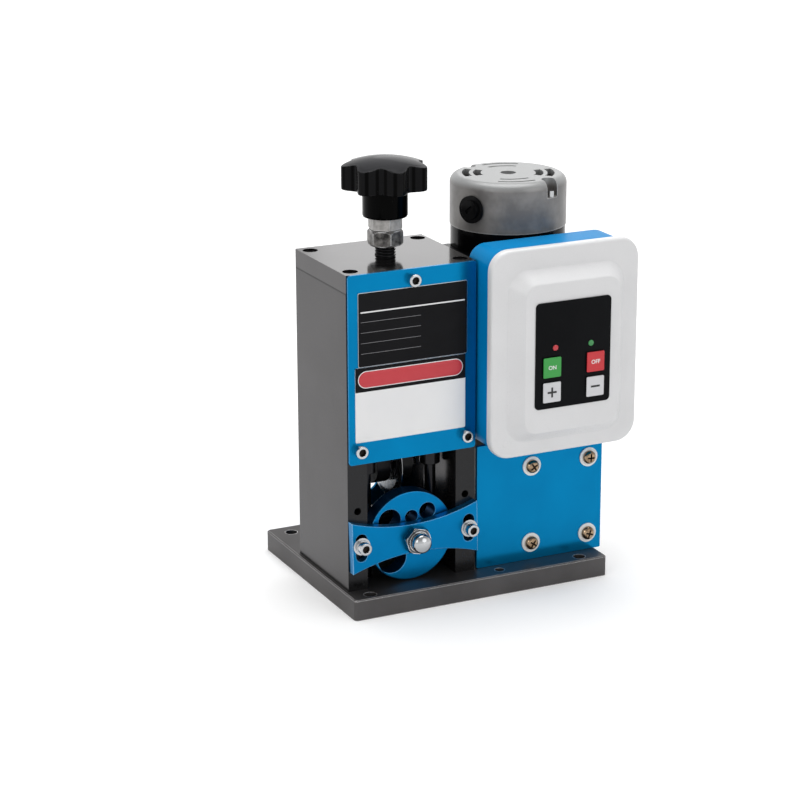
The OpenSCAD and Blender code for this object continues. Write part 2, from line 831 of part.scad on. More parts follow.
// Puts a piece at each of the four keeper screws
module at_keeper_screws() {
    for (x = [-1, 1], y = [-1, 1]) {
        translate([tower_x + x * keeper_screw_at, spindle_y + y * keeper_screw_at, 0]) children();
    }
}

module spindle_keeper() {
    color("#8a8c8e") difference() {
        translate([tower_x - keeper_w / 2, spindle_y - keeper_w / 2, carriage_top])
            linear_extrude(keeper_t) round_outline(keeper_w, keeper_w, 3);
        z_bar(tower_x, spindle_y, carriage_top - cut, carriage_top + keeper_t + cut,
            spindle_d + 2 * run_gap);
        at_keeper_screws() z_bar(0, 0, carriage_top - cut, carriage_top + keeper_t + cut,
            m4 + 2 * screw_gap);
    }
}

module keeper_screws() {
    color("#2a2a2c") at_keeper_screws() translate([0, 0, carriage_top + keeper_t])
        socket_screw(m4, keeper_t + keeper_screw_grip, m4_head_d);
}

module blade_axle() {
    color("#b0b2b4") {
        translate([tower_x - axle_half - axle_head_h, spindle_y, blade_z]) rotate([0, 90, 0])
            hex_bar(axle_flats, axle_head_h);
        x_bar(spindle_y, blade_z, tower_x - axle_half - eps, tower_x + axle_half + axle_nut_h + 1, axle_d);
    }
}

module axle_nut() {
    color("#b0b2b4") difference() {
        translate([tower_x + axle_half, spindle_y, blade_z]) rotate([0, 90, 0])
            hex_bar(axle_flats, axle_nut_h);
        x_bar(spindle_y, blade_z, tower_x, tower_x + 2 * axle_half, axle_d + 2 * run_gap);
    }
}

module cutting_blade() {
    hub = blade_slot / 2 - move_gap;
    bore = axle_d / 2 + run_gap;
    edge = 5;
    color("#d0d2d4") translate([tower_x, spindle_y, blade_z]) rotate([0, 90, 0]) rotate_extrude($fn = 96)
        polygon([[bore, -hub], [bore + 3, -hub], [bore + 3, -blade_t / 2], [blade_r - edge, -blade_t / 2],
            [blade_r, -0.15], [blade_r, 0.15], [blade_r - edge, blade_t / 2], [bore + 3, blade_t / 2],
            [bore + 3, hub], [bore, hub]]);
}

module spindle() {
    color("#8e9092") {
        z_bar(tower_x, spindle_y, foot_z, foot_z + foot_t, foot_d);
        z_bar(tower_x, spindle_y, foot_z + eps, neck_z + knob_bore - screw_gap, spindle_d);
    }
}

module lock_nut() {
    color("#c8cacc") translate([tower_x, spindle_y, nut_z]) difference() {
        rotate([0, 0, nut_turn]) hex_bar(nut_flats, nut_h);
        translate([0, 0, -cut]) cylinder(d = spindle_d + 2 * screw_gap, h = nut_h + 2 * cut);
    }
}

module hex_collar() {
    color("#c8cacc") translate([tower_x, spindle_y, hex_z]) difference() {
        rotate([0, 0, collar_turn]) hex_bar(hex_flats, hex_h);
        translate([0, 0, -cut]) cylinder(d = spindle_d + 2 * screw_gap, h = hex_h + 2 * cut);
    }
}

module star_knob() {
    lobe_at = knob_d / 2 - lobe_r;
    color("#1e1e20") translate([tower_x, spindle_y, 0]) difference() {
        union() {
            translate([0, 0, neck_z]) cylinder(d = neck_d, h = neck_h + 1);
            translate([0, 0, lobe_z]) linear_extrude(lobe_h) union() {
                circle(r = lobe_at + 1);
                for (i = [0 : lobes - 1]) {
                    rotate(knob_turn + i * 360 / lobes) translate([lobe_at, 0]) circle(r = lobe_r);
                }
            }
            translate([0, 0, lobe_z + lobe_h]) rotate_extrude()
                polygon([[0, 0], [lobe_at, 0], [lobe_at * 0.75, dome_h * 0.55],
                    [lobe_at * 0.4, dome_h * 0.9], [0, dome_h]]);
        }
        translate([0, 0, neck_z - cut]) cylinder(d = spindle_d + 2 * screw_gap, h = knob_bore + cut);
    }
}

module drive_shaft() {
    color("#a8aaac") x_bar(spindle_y, shaft_z, inner_x0 - shaft_bearing_w + screw_gap,
        gear_x1 - gearbox_wall + shaft_bearing_w - screw_gap, shaft_d);
}

module feed_roller() {
    x0 = tower_x - roller_w / 2;
    waist_r = roller_r - 2 * groove_depth;
    color("#9a9c9e") difference() {
        union() {
            x_bar(spindle_y, shaft_z, x0, x0 + roller_w, 2 * waist_r);
            for (x = [x0, x0 + (roller_w + roller_waist) / 2]) {
                difference() {
                    x_bar(spindle_y, shaft_z, x, x + (roller_w - roller_waist) / 2, roller_d);
                    for (i = [0 : roller_grooves - 1]) {
                        translate([x - cut, spindle_y, shaft_z]) rotate([i * 360 / roller_grooves, 0, 0])
                            translate([0, roller_r - groove_depth, 0]) rotate([-45, 0, 0])
                            cube([roller_w, 2 * groove_depth, 2 * groove_depth]);
                    }
                }
            }
        }
        x_bar(spindle_y, shaft_z, x0 - cut, x0 + roller_w + cut, shaft_d + 2 * run_gap);
    }
}

// Worm wheel: straight teeth set at the worm's lead angle
module worm_wheel() {
    lead = atan(worm_lead / (2 * PI * worm_pitch_r));
    root_r = wheel_pitch_r - 1.2 * gear_module;
    tip = 0.9 * gear_module;
    base_half = 0.30 * worm_lead;
    tip_half = 0.13 * worm_lead;
    color("#b8923c") difference() {
        union() {
            x_bar(spindle_y, shaft_z, motor_x - wheel_w / 2, motor_x + wheel_w / 2, 2 * root_r);
            x_bar(spindle_y, shaft_z, motor_x, motor_x + wheel_w / 2 + hub_len, 21);
            for (i = [0 : wheel_teeth - 1]) {
                translate([motor_x, spindle_y, shaft_z]) rotate([(i + 0.5) * 360 / wheel_teeth, 0, 0])
                    translate([0, root_r - 0.3, 0]) rotate([0, -lead, 0]) translate([-wheel_w / 2, 0, 0])
                    rotate([90, 0, 90]) linear_extrude(wheel_w)
                    polygon([[0, -base_half], [wheel_pitch_r - root_r + tip + 0.3, -tip_half],
                        [wheel_pitch_r - root_r + tip + 0.3, tip_half], [0, base_half]]);
            }
        }
        x_bar(spindle_y, shaft_z, motor_x - wheel_w, motor_x + wheel_w + hub_len, shaft_d + 2 * run_gap);
    }
}

module shaft_bearing(x0) {
    difference() {
        x_bar(spindle_y, shaft_z, x0, x0 + shaft_bearing_w, shaft_bearing_d);
        x_bar(spindle_y, shaft_z, x0 - cut, x0 + shaft_bearing_w + cut, shaft_d + 2 * run_gap);
    }
}

module shaft_bearings() {
    color("#bcbec0") {
        shaft_bearing(inner_x0 - shaft_bearing_w);
        shaft_bearing(inner_x1);
        shaft_bearing(gear_x0 + gearbox_wall - shaft_bearing_w);
        shaft_bearing(gear_x1 - gearbox_wall);
    }
}

module gearbox_housing() {
    color("#38383a") difference() {
        translate([gear_x0, gear_y0, base_t]) cube([gear_x1 - gear_x0, gearbox_d, lid_z - base_t]);
        translate([gear_x0 + gearbox_wall, gear_y0 + gearbox_wall, floor_z])
            cube([gear_x1 - gear_x0 - 2 * gearbox_wall, gearbox_d - 2 * gearbox_wall, lid_z]);
        bearing_seat(gear_x0 + gearbox_wall - shaft_bearing_w);
        bearing_seat(gear_x1 - gearbox_wall);
        x_bar(spindle_y, shaft_z, gear_x0 - cut, gear_x0 + gearbox_wall, shaft_hole_d);
        z_bar(motor_x, motor_y, floor_z - low_bearing_w, floor_z + cut, low_bearing_d + 2 * run_gap);
        for (p = base_screws_at) {
            z_bar(p[0], p[1], base_t - cut, base_t + base_screw_grip + cut, m6 + 2 * screw_gap);
        }
        for (x = gear_screw_xs, z = gear_screw_zs) {
            y_bar(x, z, gear_y0 - cut, gear_y0 + gearbox_wall + cut, m5 + 2 * screw_gap);
        }
        for (x = lid_screw_xs, y = lid_screw_ys) {
            z_bar(x, y, lid_z - lid_tap, lid_z + cut, m4 + 2 * screw_gap);
        }
    }
}

module gearbox_lid() {
    x0 = motor_x - motor_r;
    color("#444446") difference() {
        translate([x0, gear_y0, lid_z]) cube([gear_x1 - x0, gearbox_d, lid_t]);
        z_bar(motor_x, motor_y, lid_z - cut, lid_top + cut, lid_hole_d);
        z_bar(motor_x, motor_y, lid_z - cut, lid_z + lid_bearing_w, lid_bearing_d + 2 * run_gap);
        for (x = lid_screw_xs, y = lid_screw_ys) {
            z_bar(x, y, lid_z - cut, lid_top + cut, m4 + 2 * screw_gap);
        }
    }
}

module gearbox_plate() {
    color("#0078b8") difference() {
        upright_plate(gear_plate_x0, tower_y0, base_t + screw_gap, gear_plate_over - base_x - gear_plate_x0,
            gear_plate_t, box_z0 - base_t - 2 * screw_gap, 1);
        for (x = gear_screw_xs, z = gear_screw_zs) {
            y_bar(x, z, tower_y0 - cut, gear_y0 + cut, m5 + 2 * screw_gap);
        }
    }
}

module plate_washers() {
    color("#ededed") for (x = gear_screw_xs, z = gear_screw_zs) {
        washer(x, tower_y0, z, gear_washer_d, m5 + 2 * screw_gap);
    }
}

module plate_screws() {
    color("#c0c0c2") for (x = gear_screw_xs, z = gear_screw_zs) {
        facing_front(x, tower_y0 - washer_t, z)
            pan_screw(m5, gear_plate_t + gearbox_wall, gear_head_d, gear_head_h);
    }
}

// Shaft of the motor, with the worm's thread on its lower end
module worm_shaft() {
    root_r = worm_pitch_r - 1.25 * gear_module;
    tip_r = worm_pitch_r + 0.9 * gear_module;
    turns = worm_len / worm_lead;
    steps = 24;
    flat = 70;
    rise = 70;
    color("#a0a2a4") translate([motor_x, motor_y, 0]) {
        translate([0, 0, rotor_foot]) cylinder(d = rotor_d, h = rotor_head - rotor_foot);
        translate([0, 0, shaft_z - worm_len / 2 - 3]) cylinder(r = root_r, h = worm_len + 6);
        translate([0, 0, shaft_z - worm_len / 2])
            linear_extrude(worm_len, twist = -360 * turns, slices = round(9 * turns), $fn = 24)
            rotate(worm_phase) polygon([for (i = [0 : steps - 1]) let (a = i * 360 / steps,
                d = abs(a - 180), r = d < flat / 2 ? tip_r
                    : d < flat / 2 + rise ? tip_r - (tip_r - root_r + 0.2) * (d - flat / 2) / rise
                    : root_r - 0.2) [r * cos(a), r * sin(a)]]);
    }
}

module rotor_bearing(z, w, outer) {
    z_ring(motor_x, motor_y, z, z + w, outer, rotor_d + 2 * run_gap);
}

module rotor_bearings() {
    color("#bcbec0") {
        rotor_bearing(floor_z - low_bearing_w, low_bearing_w, low_bearing_d);
        rotor_bearing(lid_z, lid_bearing_w, lid_bearing_d);
        rotor_bearing(motor_top - cap_wall - cap_bearing_w, cap_bearing_w, cap_bearing_d);
    }
}

module armature() {
    color("#8c5a32") difference() {
        union() {
            z_bar(motor_x, motor_y, arm_z0, arm_z1, armature_d);
            z_bar(motor_x, motor_y, arm_z0 - winding_h, arm_z1 + winding_h, winding_d);
        }
        z_bar(motor_x, motor_y, arm_z0 - 2 * winding_h, arm_z1 + 2 * winding_h, rotor_d + 2 * run_gap);
        for (i = [0 : 11]) {
            translate([motor_x, motor_y, arm_z0 - cut]) rotate([0, 0, i * 30])
                translate([armature_d / 2 - 3, -0.8, 0]) cube([5, 1.6, arm_z1 - arm_z0 + 2 * cut]);
        }
    }
}

module commutator() {
    color("#b0703c") z_ring(motor_x, motor_y, brush_z - commutator_h / 2, brush_z + commutator_h / 2,
        commutator_d, rotor_d + 2 * run_gap);
}

module field_magnets() {
    color("#3a3a3c") intersection() {
        z_ring(motor_x, motor_y, arm_z0, arm_z1, 2 * (body_r - motor_wall - screw_gap),
            armature_d + 2 * magnet_gap);
        for (a = [0, 180]) {
            translate([motor_x, motor_y, 0]) rotate([0, 0, a]) translate([6, -motor_r, 0])
                cube([motor_r, motor_d, motor_top]);
        }
    }
}

module motor_body() {
    color("#161618") difference() {
        z_bar(motor_x, motor_y, lid_top, motor_cap_z, 2 * body_r, 96);
        z_bar(motor_x, motor_y, lid_top + motor_wall, motor_cap_z + cut, 2 * (body_r - motor_wall), 96);
        z_bar(motor_x, motor_y, lid_top - cut, lid_top + motor_wall + cut, lid_hole_d);
        at_notches() translate([0, 0, -end_screw_len - cut])
            cylinder(d = m3 + 2 * screw_gap, h = end_screw_len);
    }
}

module motor_clamp() {
    color("#202022") difference() {
        union() {
            z_bar(motor_x, motor_y, clamp_ring_z - clamp_ring_t, clamp_ring_z, clamp_ring_d, 96);
            translate([motor_x - clamp_pad_w / 2, box_y1, clamp_ring_z - clamp_ring_t])
                cube([clamp_pad_w, motor_y - box_y1, clamp_ring_t]);
        }
        z_bar(motor_x, motor_y, clamp_ring_z - 2 * clamp_ring_t, clamp_ring_z + cut,
            2 * (body_r + screw_gap), 96);
        for (y = [box_y1 - clamp_ring_d, motor_y + clamp_reach]) {
            translate([motor_x - clamp_ring_d, y, clamp_ring_z - 2 * clamp_ring_t])
                cube([2 * clamp_ring_d, clamp_ring_d, 3 * clamp_ring_t]);
        }
    }
}

// Slot that follows an arc in the top of the end cap, half its angle to either side of its middle
module arc_slot(r, w, middle, half) {
    intersection() {
        z_ring(motor_x, motor_y, motor_top - cap_wall - cut, motor_top + cut, 2 * r + w, 2 * r - w);
        translate([motor_x, motor_y, motor_top - 2 * cap_wall]) linear_extrude(4 * cap_wall)
            polygon([[0, 0], for (i = [-3 : 3]) let (a = middle + half * i / 3)
                [motor_d * cos(a), motor_d * sin(a)]]);
    }
}

module motor_end_cap() {
    color("#b4b6b8") difference() {
        union() {
            difference() {
                translate([motor_x, motor_y, motor_cap_z]) rotate_extrude($fn = 96) union() {
                    square([motor_r, motor_cap_h - motor_cap_r]);
                    square([motor_r - motor_cap_r, motor_cap_h]);
                    translate([motor_r - motor_cap_r, motor_cap_h - motor_cap_r]) circle(r = motor_cap_r);
                }
                z_bar(motor_x, motor_y, motor_cap_z - cut, motor_top - cap_wall, 2 * (body_r - motor_wall),
                    96);
            }
            intersection() {
                z_bar(motor_x, motor_y, motor_top - notch_h - notch_wall, motor_top - cap_wall + eps,
                    2 * body_r - motor_wall, 96);
                at_notches() screw_pocket(notch_w + 2 * notch_wall, notch_h);
            }
        }
        z_bar(motor_x, motor_y, motor_cap_z, motor_top + cut, rotor_d + 0.6);
        for (a = [0, 180]) {
            arc_slot(21.2, 5.2, a + vent_angle, 24);
            arc_slot(28.9, 4.8, a + vent_angle, 23);
            arc_slot(21.4, 2.2, a + vent_angle + 100, 27);
            arc_slot(29.5, 2.2, a + vent_angle + 100, 25);
        }
        at_notches() {
            screw_pocket(notch_w, 0);
            translate([0, 0, -motor_top]) cylinder(d = m3 + 2 * screw_gap, h = motor_top + cut);
        }
        at_brushes() cylinder(d = brush_holder_d + 2 * screw_gap, h = motor_d);
    }
}

// Puts a piece on the floor of the two notches in the end cap's edge
module at_notches() {
    for (a = [0, 180]) {
        translate([motor_x, motor_y, motor_top - notch_h]) rotate([0, 0, a + notch_angle])
            translate([end_screw_r, 0, 0]) children();
    }
}

// Round-ended pocket of width w that runs out of the end cap, from below its floor upwards
module screw_pocket(w, below) {
    rotate([0, 0, notch_turn]) hull() {
        for (x = [-notch_in, 2 * notch_w]) translate([x, 0, -below]) cylinder(d = w, h = below + 2 * notch_h);
    }
}

module end_cap_screws() {
    color("#d0d0d2") at_notches() {
        cylinder(d = m3_head_d, h = end_screw_head_h);
        translate([0, 0, -end_screw_len]) cylinder(d = m3, h = end_screw_len + eps);
    }
}

// Puts a piece on the two brush axes, pointing outwards from the motor's axis
module at_brushes() {
    for (a = [0, 180]) {
        translate([motor_x, motor_y, brush_z]) rotate([0, 0, a + brush_angle]) rotate([0, 90, 0])
            children();
    }
}

module brush_caps() {
    color("#1a1a1c") at_brushes() difference() {
        union() {
            translate([0, 0, motor_r - brush_holder_len])
                cylinder(d = brush_holder_d, h = brush_holder_len + 1);
            translate([0, 0, motor_r + screw_gap]) cylinder(d = brush_cap_d, h = 2.2);
            translate([0, 0, motor_r + 2]) cylinder(d = brush_cap_d - 5.5, h = 1.8);
        }
        rotate([0, 0, brush_slot_turn]) translate([-brush_slot / 2, -1.2, motor_r + 2.6])
            cube([brush_slot, 2.4, 4]);
    }
}

module carbon_brushes() {
    x0 = commutator_d / 2 + move_gap;
    color("#2c2c2c") at_brushes() translate([-3.5, -2.5, x0]) cube([7, 5, motor_r - brush_holder_len - x0]);
}

module guide_bracket() {
    sag = (bracket_end_h - bracket_waist_h) / 2;
    arc_r = (pow(bracket_w / 2, 2) + pow(sag, 2)) / (2 * sag);
    color("#0078b8") difference() {
        translate([tower_x, tower_y0, bracket_z]) rotate([0, -bracket_lean, 0]) rotate([90, 0, 0])
            difference() {
            translate([-bracket_w / 2, -bracket_end_h / 2, 0]) cube([bracket_w, bracket_end_h, bracket_t]);
            for (s = [-1, 1]) {
                translate([0, s * (bracket_waist_h / 2 + arc_r), -cut])
                    cylinder(r = arc_r, h = bracket_t + 2 * cut, $fn = 180);
                translate([s * slot_pitch / 2, 0, -cut]) linear_extrude(bracket_t + 2 * cut) union() {
                    square([slot_w, slot_h - slot_w], center = true);
                    for (e = [-1, 1]) translate([0, e * (slot_h - slot_w) / 2]) circle(d = slot_w);
                }
            }
        }
        y_bar(tower_x, disc_z, bracket_y0 - cut, tower_y0 + cut, pivot_d + 2 * screw_gap);
    }
}

// Each clamping screw's plain washer, with the spring washer before it
module clamp_washers() {
    color("#c8cacc") for (x = side_xs) difference() {
        union() {
            y_bar(x, clamp_z, bracket_y0 - washer_t, bracket_y0, clamp_washer_d);
            y_bar(x, clamp_z, bracket_y0 - clamp_stack, bracket_y0, spring_washer_d);
        }
        y_bar(x, clamp_z, bracket_y0 - clamp_stack - cut, bracket_y0 + cut, clamp_d + 2 * screw_gap);
    }
}

module clamp_screws() {
    color("#c8cacc") for (x = side_xs) {
        facing_front(x, bracket_y0 - clamp_stack, clamp_z)
            socket_screw(clamp_d, clamp_stack + bracket_t + clamp_grip, m5_head_d);
    }
}

module pivot_bolt() {
    color("#b4b6b8") {
        y_bar(tower_x, disc_z, bracket_y0 - dome_nut_h + 4.5, disc_y1 + eps, pivot_d);
        translate([tower_x, disc_y1, disc_z]) rotate([-90, 0, 0]) hex_bar(pivot_flats, pivot_head_h);
    }
}

module spacer_washer() {
    color("#b4b6b8") difference() {
        y_bar(tower_x, disc_z, tower_y0, disc_y0 - run_gap, 18);
        y_bar(tower_x, disc_z, tower_y0 - cut, disc_y1, pivot_d + 2 * screw_gap);
    }
}

module dome_nut() {
    color("#d4d6d8") translate([tower_x, bracket_y0, disc_z]) rotate([90, 0, 0]) difference() {
        union() {
            cylinder(d = dome_flats - 0.4, h = dome_face_h + eps);
            translate([0, 0, dome_face_h]) rotate([0, 0, 30 + dome_turn]) hex_bar(dome_flats, dome_hex_h);
            cylinder(r = dome_r, h = dome_nut_h - dome_rise);
            translate([0, 0, dome_nut_h - dome_rise]) rotate_extrude() polygon([
                for (i = [0 : 12]) [dome_r * cos(i * 7.5), dome_rise * sin(i * 7.5) - (i == 0 ? eps : 0)],
                [0, -eps]
            ]);
        }
        translate([0, 0, -cut]) cylinder(d = pivot_d + 2 * screw_gap, h = dome_nut_h - 3.5 + cut);
    }
}

module guide_disc() {
    bore = pivot_d / 2 + run_gap;
    rim = 0.6;
    t = disc_t - 2 * run_gap;
    color("#0078b8") difference() {
        translate([tower_x, disc_y1 - run_gap, disc_z]) rotate([90, 0, 0]) rotate_extrude($fn = 128)
            polygon([[bore, 0], [disc_d / 2 - rim, 0], [disc_d / 2, rim], [disc_d / 2, t - rim],
                [disc_d / 2 - rim, t], [bore, t]]);
        for (i = [0 : len(wire_hole_d) - 1]) {
            x = tower_x + wire_hole_r[i] * cos(wire_hole_a[i]);
            z = disc_z + wire_hole_r[i] * sin(wire_hole_a[i]);
            y_bar(x, z, disc_y0 - cut, disc_y1 + cut, wire_hole_d[i]);
        }
    }
}

module control_box() {
    w = face_w - 2 * box_inset;
    h = face_h - 2 * box_inset;
    r = face_r - box_inset;
    color("#0078b8") difference() {
        upright_plate(face_x0 + box_inset, box_y0, box_z0, w, box_depth, h, r);
        upright_plate(face_x0 + box_inset + box_wall, box_y0 - cut, box_z0 + box_wall, w - 2 * box_wall,
            box_depth - box_wall + cut, h - 2 * box_wall, r - box_wall);
        y_bar(gland_x, gland_z, box_y0, box_y1 + cut, gland_neck_d + 2 * screw_gap);
    }
}

module cable_gland() {
    color("#1a1a1c") difference() {
        union() {
            y_bar(gland_x, gland_z, box_y1 - gland_in, box_y1 + gland_len, gland_neck_d);
            translate([gland_x, box_y1, gland_z]) rotate([-90, 0, 0]) hex_bar(gland_d, gland_hex_h);
        }
        y_bar(gland_x, gland_z, box_y1 - gland_in - cut, box_y1 + gland_len + cut, gland_bore);
    }
}

// Holes for the buttons' stems and the lamps, through the panel and the cover behind it
module panel_holes() {
    depth = cover_wall + panel_t + 2 * cut;
    for (x = button_xs, z = button_zs) {
        translate([x - button_hole / 2, panel_y - cut, z - button_hole / 2])
            cube([button_hole, depth, button_hole]);
    }
    for (x = lamp_xs) y_bar(x, lamp_z, panel_y - cut, panel_y - cut + depth, lamp_d + 2 * screw_gap);
}

module control_cover() {
    boss_in = board_in + boss_d / 2;
    inset = slope + cover_wall;
    color("#ececec") for (x = [-1, 1], z = [-1, 1]) {
        y_bar(face_x + x * (panel_w / 2 - boss_in), panel_z + z * (panel_h / 2 - boss_in),
            raised_y + cover_wall - eps, board_y, boss_d);
    }
    color("#ececec") difference() {
        union() {
            upright_plate(face_x0, face_y, face_z, face_w, rim_t, face_h, face_r);
            hull() {
                upright_plate(raised_x0, face_y - 1, raised_z0, raised_w, 1.5, raised_h, 14, 32);
                upright_plate(raised_x0 + slope, raised_y, raised_z0 + slope, raised_w - 2 * slope, 1,
                    raised_h - 2 * slope, 10, 32);
            }
        }
        upright_plate(raised_x0 + inset, raised_y + cover_wall, raised_z0 + inset, raised_w - 2 * inset,
            raised_t + rim_t, raised_h - 2 * inset, 8);
        panel_holes();
    }
}

module control_panel() {
    color("#161618") difference() {
        upright_plate(face_x - panel_w / 2, panel_y, panel_z - panel_h / 2, panel_w, panel_t, panel_h, 3);
        panel_holes();
    }
}

// A push button: it is its travel clear of the panel, and its stem ends its travel short of the board
module push_button(x, z) {
    cap_y = panel_y - button_travel - panel_gap;
    upright_plate(x - button_w / 2, cap_y - button_cap_t, z - button_h / 2, button_w, button_cap_t,
        button_h, 1.5);
    translate([x - button_stem / 2, cap_y - 0.1, z - button_stem / 2])
        cube([button_stem, board_y - button_travel - panel_gap - cap_y + 0.1, button_stem]);
}

module on_button() { color("#3aa648") push_button(button_xs[0], button_zs[0]); }
module off_button() { color("#d83238") push_button(button_xs[1], button_zs[0]); }
module plus_button() { color("#d8d8da") push_button(button_xs[0], button_zs[1]); }
module minus_button() { color("#d8d8da") push_button(button_xs[1], button_zs[1]); }

module indicator_lamps() {
    color("#c03038") y_bar(lamp_xs[0], lamp_z, panel_y - 0.4, board_y, lamp_d);
    color("#3a9448") y_bar(lamp_xs[1], lamp_z, panel_y - 0.4, board_y, lamp_d);
}

module circuit_board() {
    w = panel_w - 2 * board_in;
    h = panel_h - 2 * board_in;
    color("#2e6a3c") upright_plate(face_x - w / 2, board_y, panel_z - h / 2, w, board_t, h, 2);
}

base_plate();
left_side_plate();
right_side_plate();
top_block();
front_cover();
back_cover();
rating_plate();
plain_sticker();
cover_screws();
top_block_screws();
base_screws();
guide_rods();
stop_collars();
blade_carriage();
spindle_keeper();
keeper_screws();
blade_axle();
axle_nut();
cutting_blade();
spindle();
lock_nut();
hex_collar();
star_knob();
drive_shaft();
feed_roller();
worm_wheel();
shaft_bearings();
gearbox_housing();
gearbox_lid();
gearbox_plate();
plate_screws();
plate_washers();
worm_shaft();
rotor_bearings();
armature();
commutator();
field_magnets();
motor_body();
motor_clamp();
motor_end_cap();
end_cap_screws();
brush_caps();
carbon_brushes();
guide_bracket();
clamp_screws();
clamp_washers();
pivot_bolt();
spacer_washer();
dome_nut();
guide_disc();
control_box();
control_cover();
control_panel();
circuit_board();
indicator_lamps();
on_button();
off_button();
plus_button();
minus_button();
cable_gland();
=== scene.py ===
import json
import math

import bmesh
import bpy
from mathutils import Matrix, Vector

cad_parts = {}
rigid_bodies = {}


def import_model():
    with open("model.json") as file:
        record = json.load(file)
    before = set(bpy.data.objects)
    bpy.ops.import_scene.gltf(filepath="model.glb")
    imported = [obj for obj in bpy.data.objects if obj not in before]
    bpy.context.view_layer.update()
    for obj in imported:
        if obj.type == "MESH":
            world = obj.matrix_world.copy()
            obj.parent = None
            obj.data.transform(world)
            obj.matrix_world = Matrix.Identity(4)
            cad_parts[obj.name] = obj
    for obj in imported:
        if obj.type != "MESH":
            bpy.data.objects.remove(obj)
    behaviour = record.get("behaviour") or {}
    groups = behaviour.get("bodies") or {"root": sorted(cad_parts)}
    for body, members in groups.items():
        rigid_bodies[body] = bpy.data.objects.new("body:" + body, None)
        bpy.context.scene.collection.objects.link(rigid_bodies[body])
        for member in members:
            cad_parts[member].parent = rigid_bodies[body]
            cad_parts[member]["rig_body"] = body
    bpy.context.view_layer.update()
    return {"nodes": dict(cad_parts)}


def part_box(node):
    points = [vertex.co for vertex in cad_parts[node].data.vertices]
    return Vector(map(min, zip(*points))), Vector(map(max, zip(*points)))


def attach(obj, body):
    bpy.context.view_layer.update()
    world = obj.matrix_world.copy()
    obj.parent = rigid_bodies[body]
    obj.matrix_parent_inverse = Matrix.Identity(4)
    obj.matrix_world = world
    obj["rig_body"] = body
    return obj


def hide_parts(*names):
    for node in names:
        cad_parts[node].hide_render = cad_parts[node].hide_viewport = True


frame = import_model()
nodes = frame["nodes"]
mm = 0.001
print("frame loaded:", len(nodes), "nodes")


# nodes of materials and of geometry trees

def place(tree, kind, inputs=None, **settings):  # a node, with its inputs set or linked
    node = tree.nodes.new(kind)
    for key, value in settings.items():
        setattr(node, key, value)
    for key, value in (inputs or {}).items():
        if isinstance(value, bpy.types.NodeSocket):
            tree.links.new(value, node.inputs[key])
        else:
            node.inputs[key].default_value = value
    return node


def remap(tree, value, low, high, toLow=0.0, toHigh=1.0):
    return place(tree, "ShaderNodeMapRange", {
        "Value": value, "From Min": low, "From Max": high, "To Min": toLow, "To Max": toHigh,
    }).outputs["Result"]


def calculate(tree, operation, first, second=0.0):
    return place(tree, "ShaderNodeMath", {0: first, 1: second}, operation=operation).outputs[0]


def split(tree, vector):  # its parts along X, Y and Z
    return place(tree, "ShaderNodeSeparateXYZ", {0: vector}).outputs


def squareSum(tree, x, y):
    return calculate(tree, "ADD", *[calculate(tree, "MULTIPLY", side, side) for side in (x, y)])


def waveAround(tree, x, y, turn, count):  # count even waves round the z axis, as a cosine
    angle = calculate(tree, "SUBTRACT", calculate(tree, "ARCTAN2", y, x), turn)
    return calculate(tree, "COSINE", calculate(tree, "MULTIPLY", angle, count))


# finishes

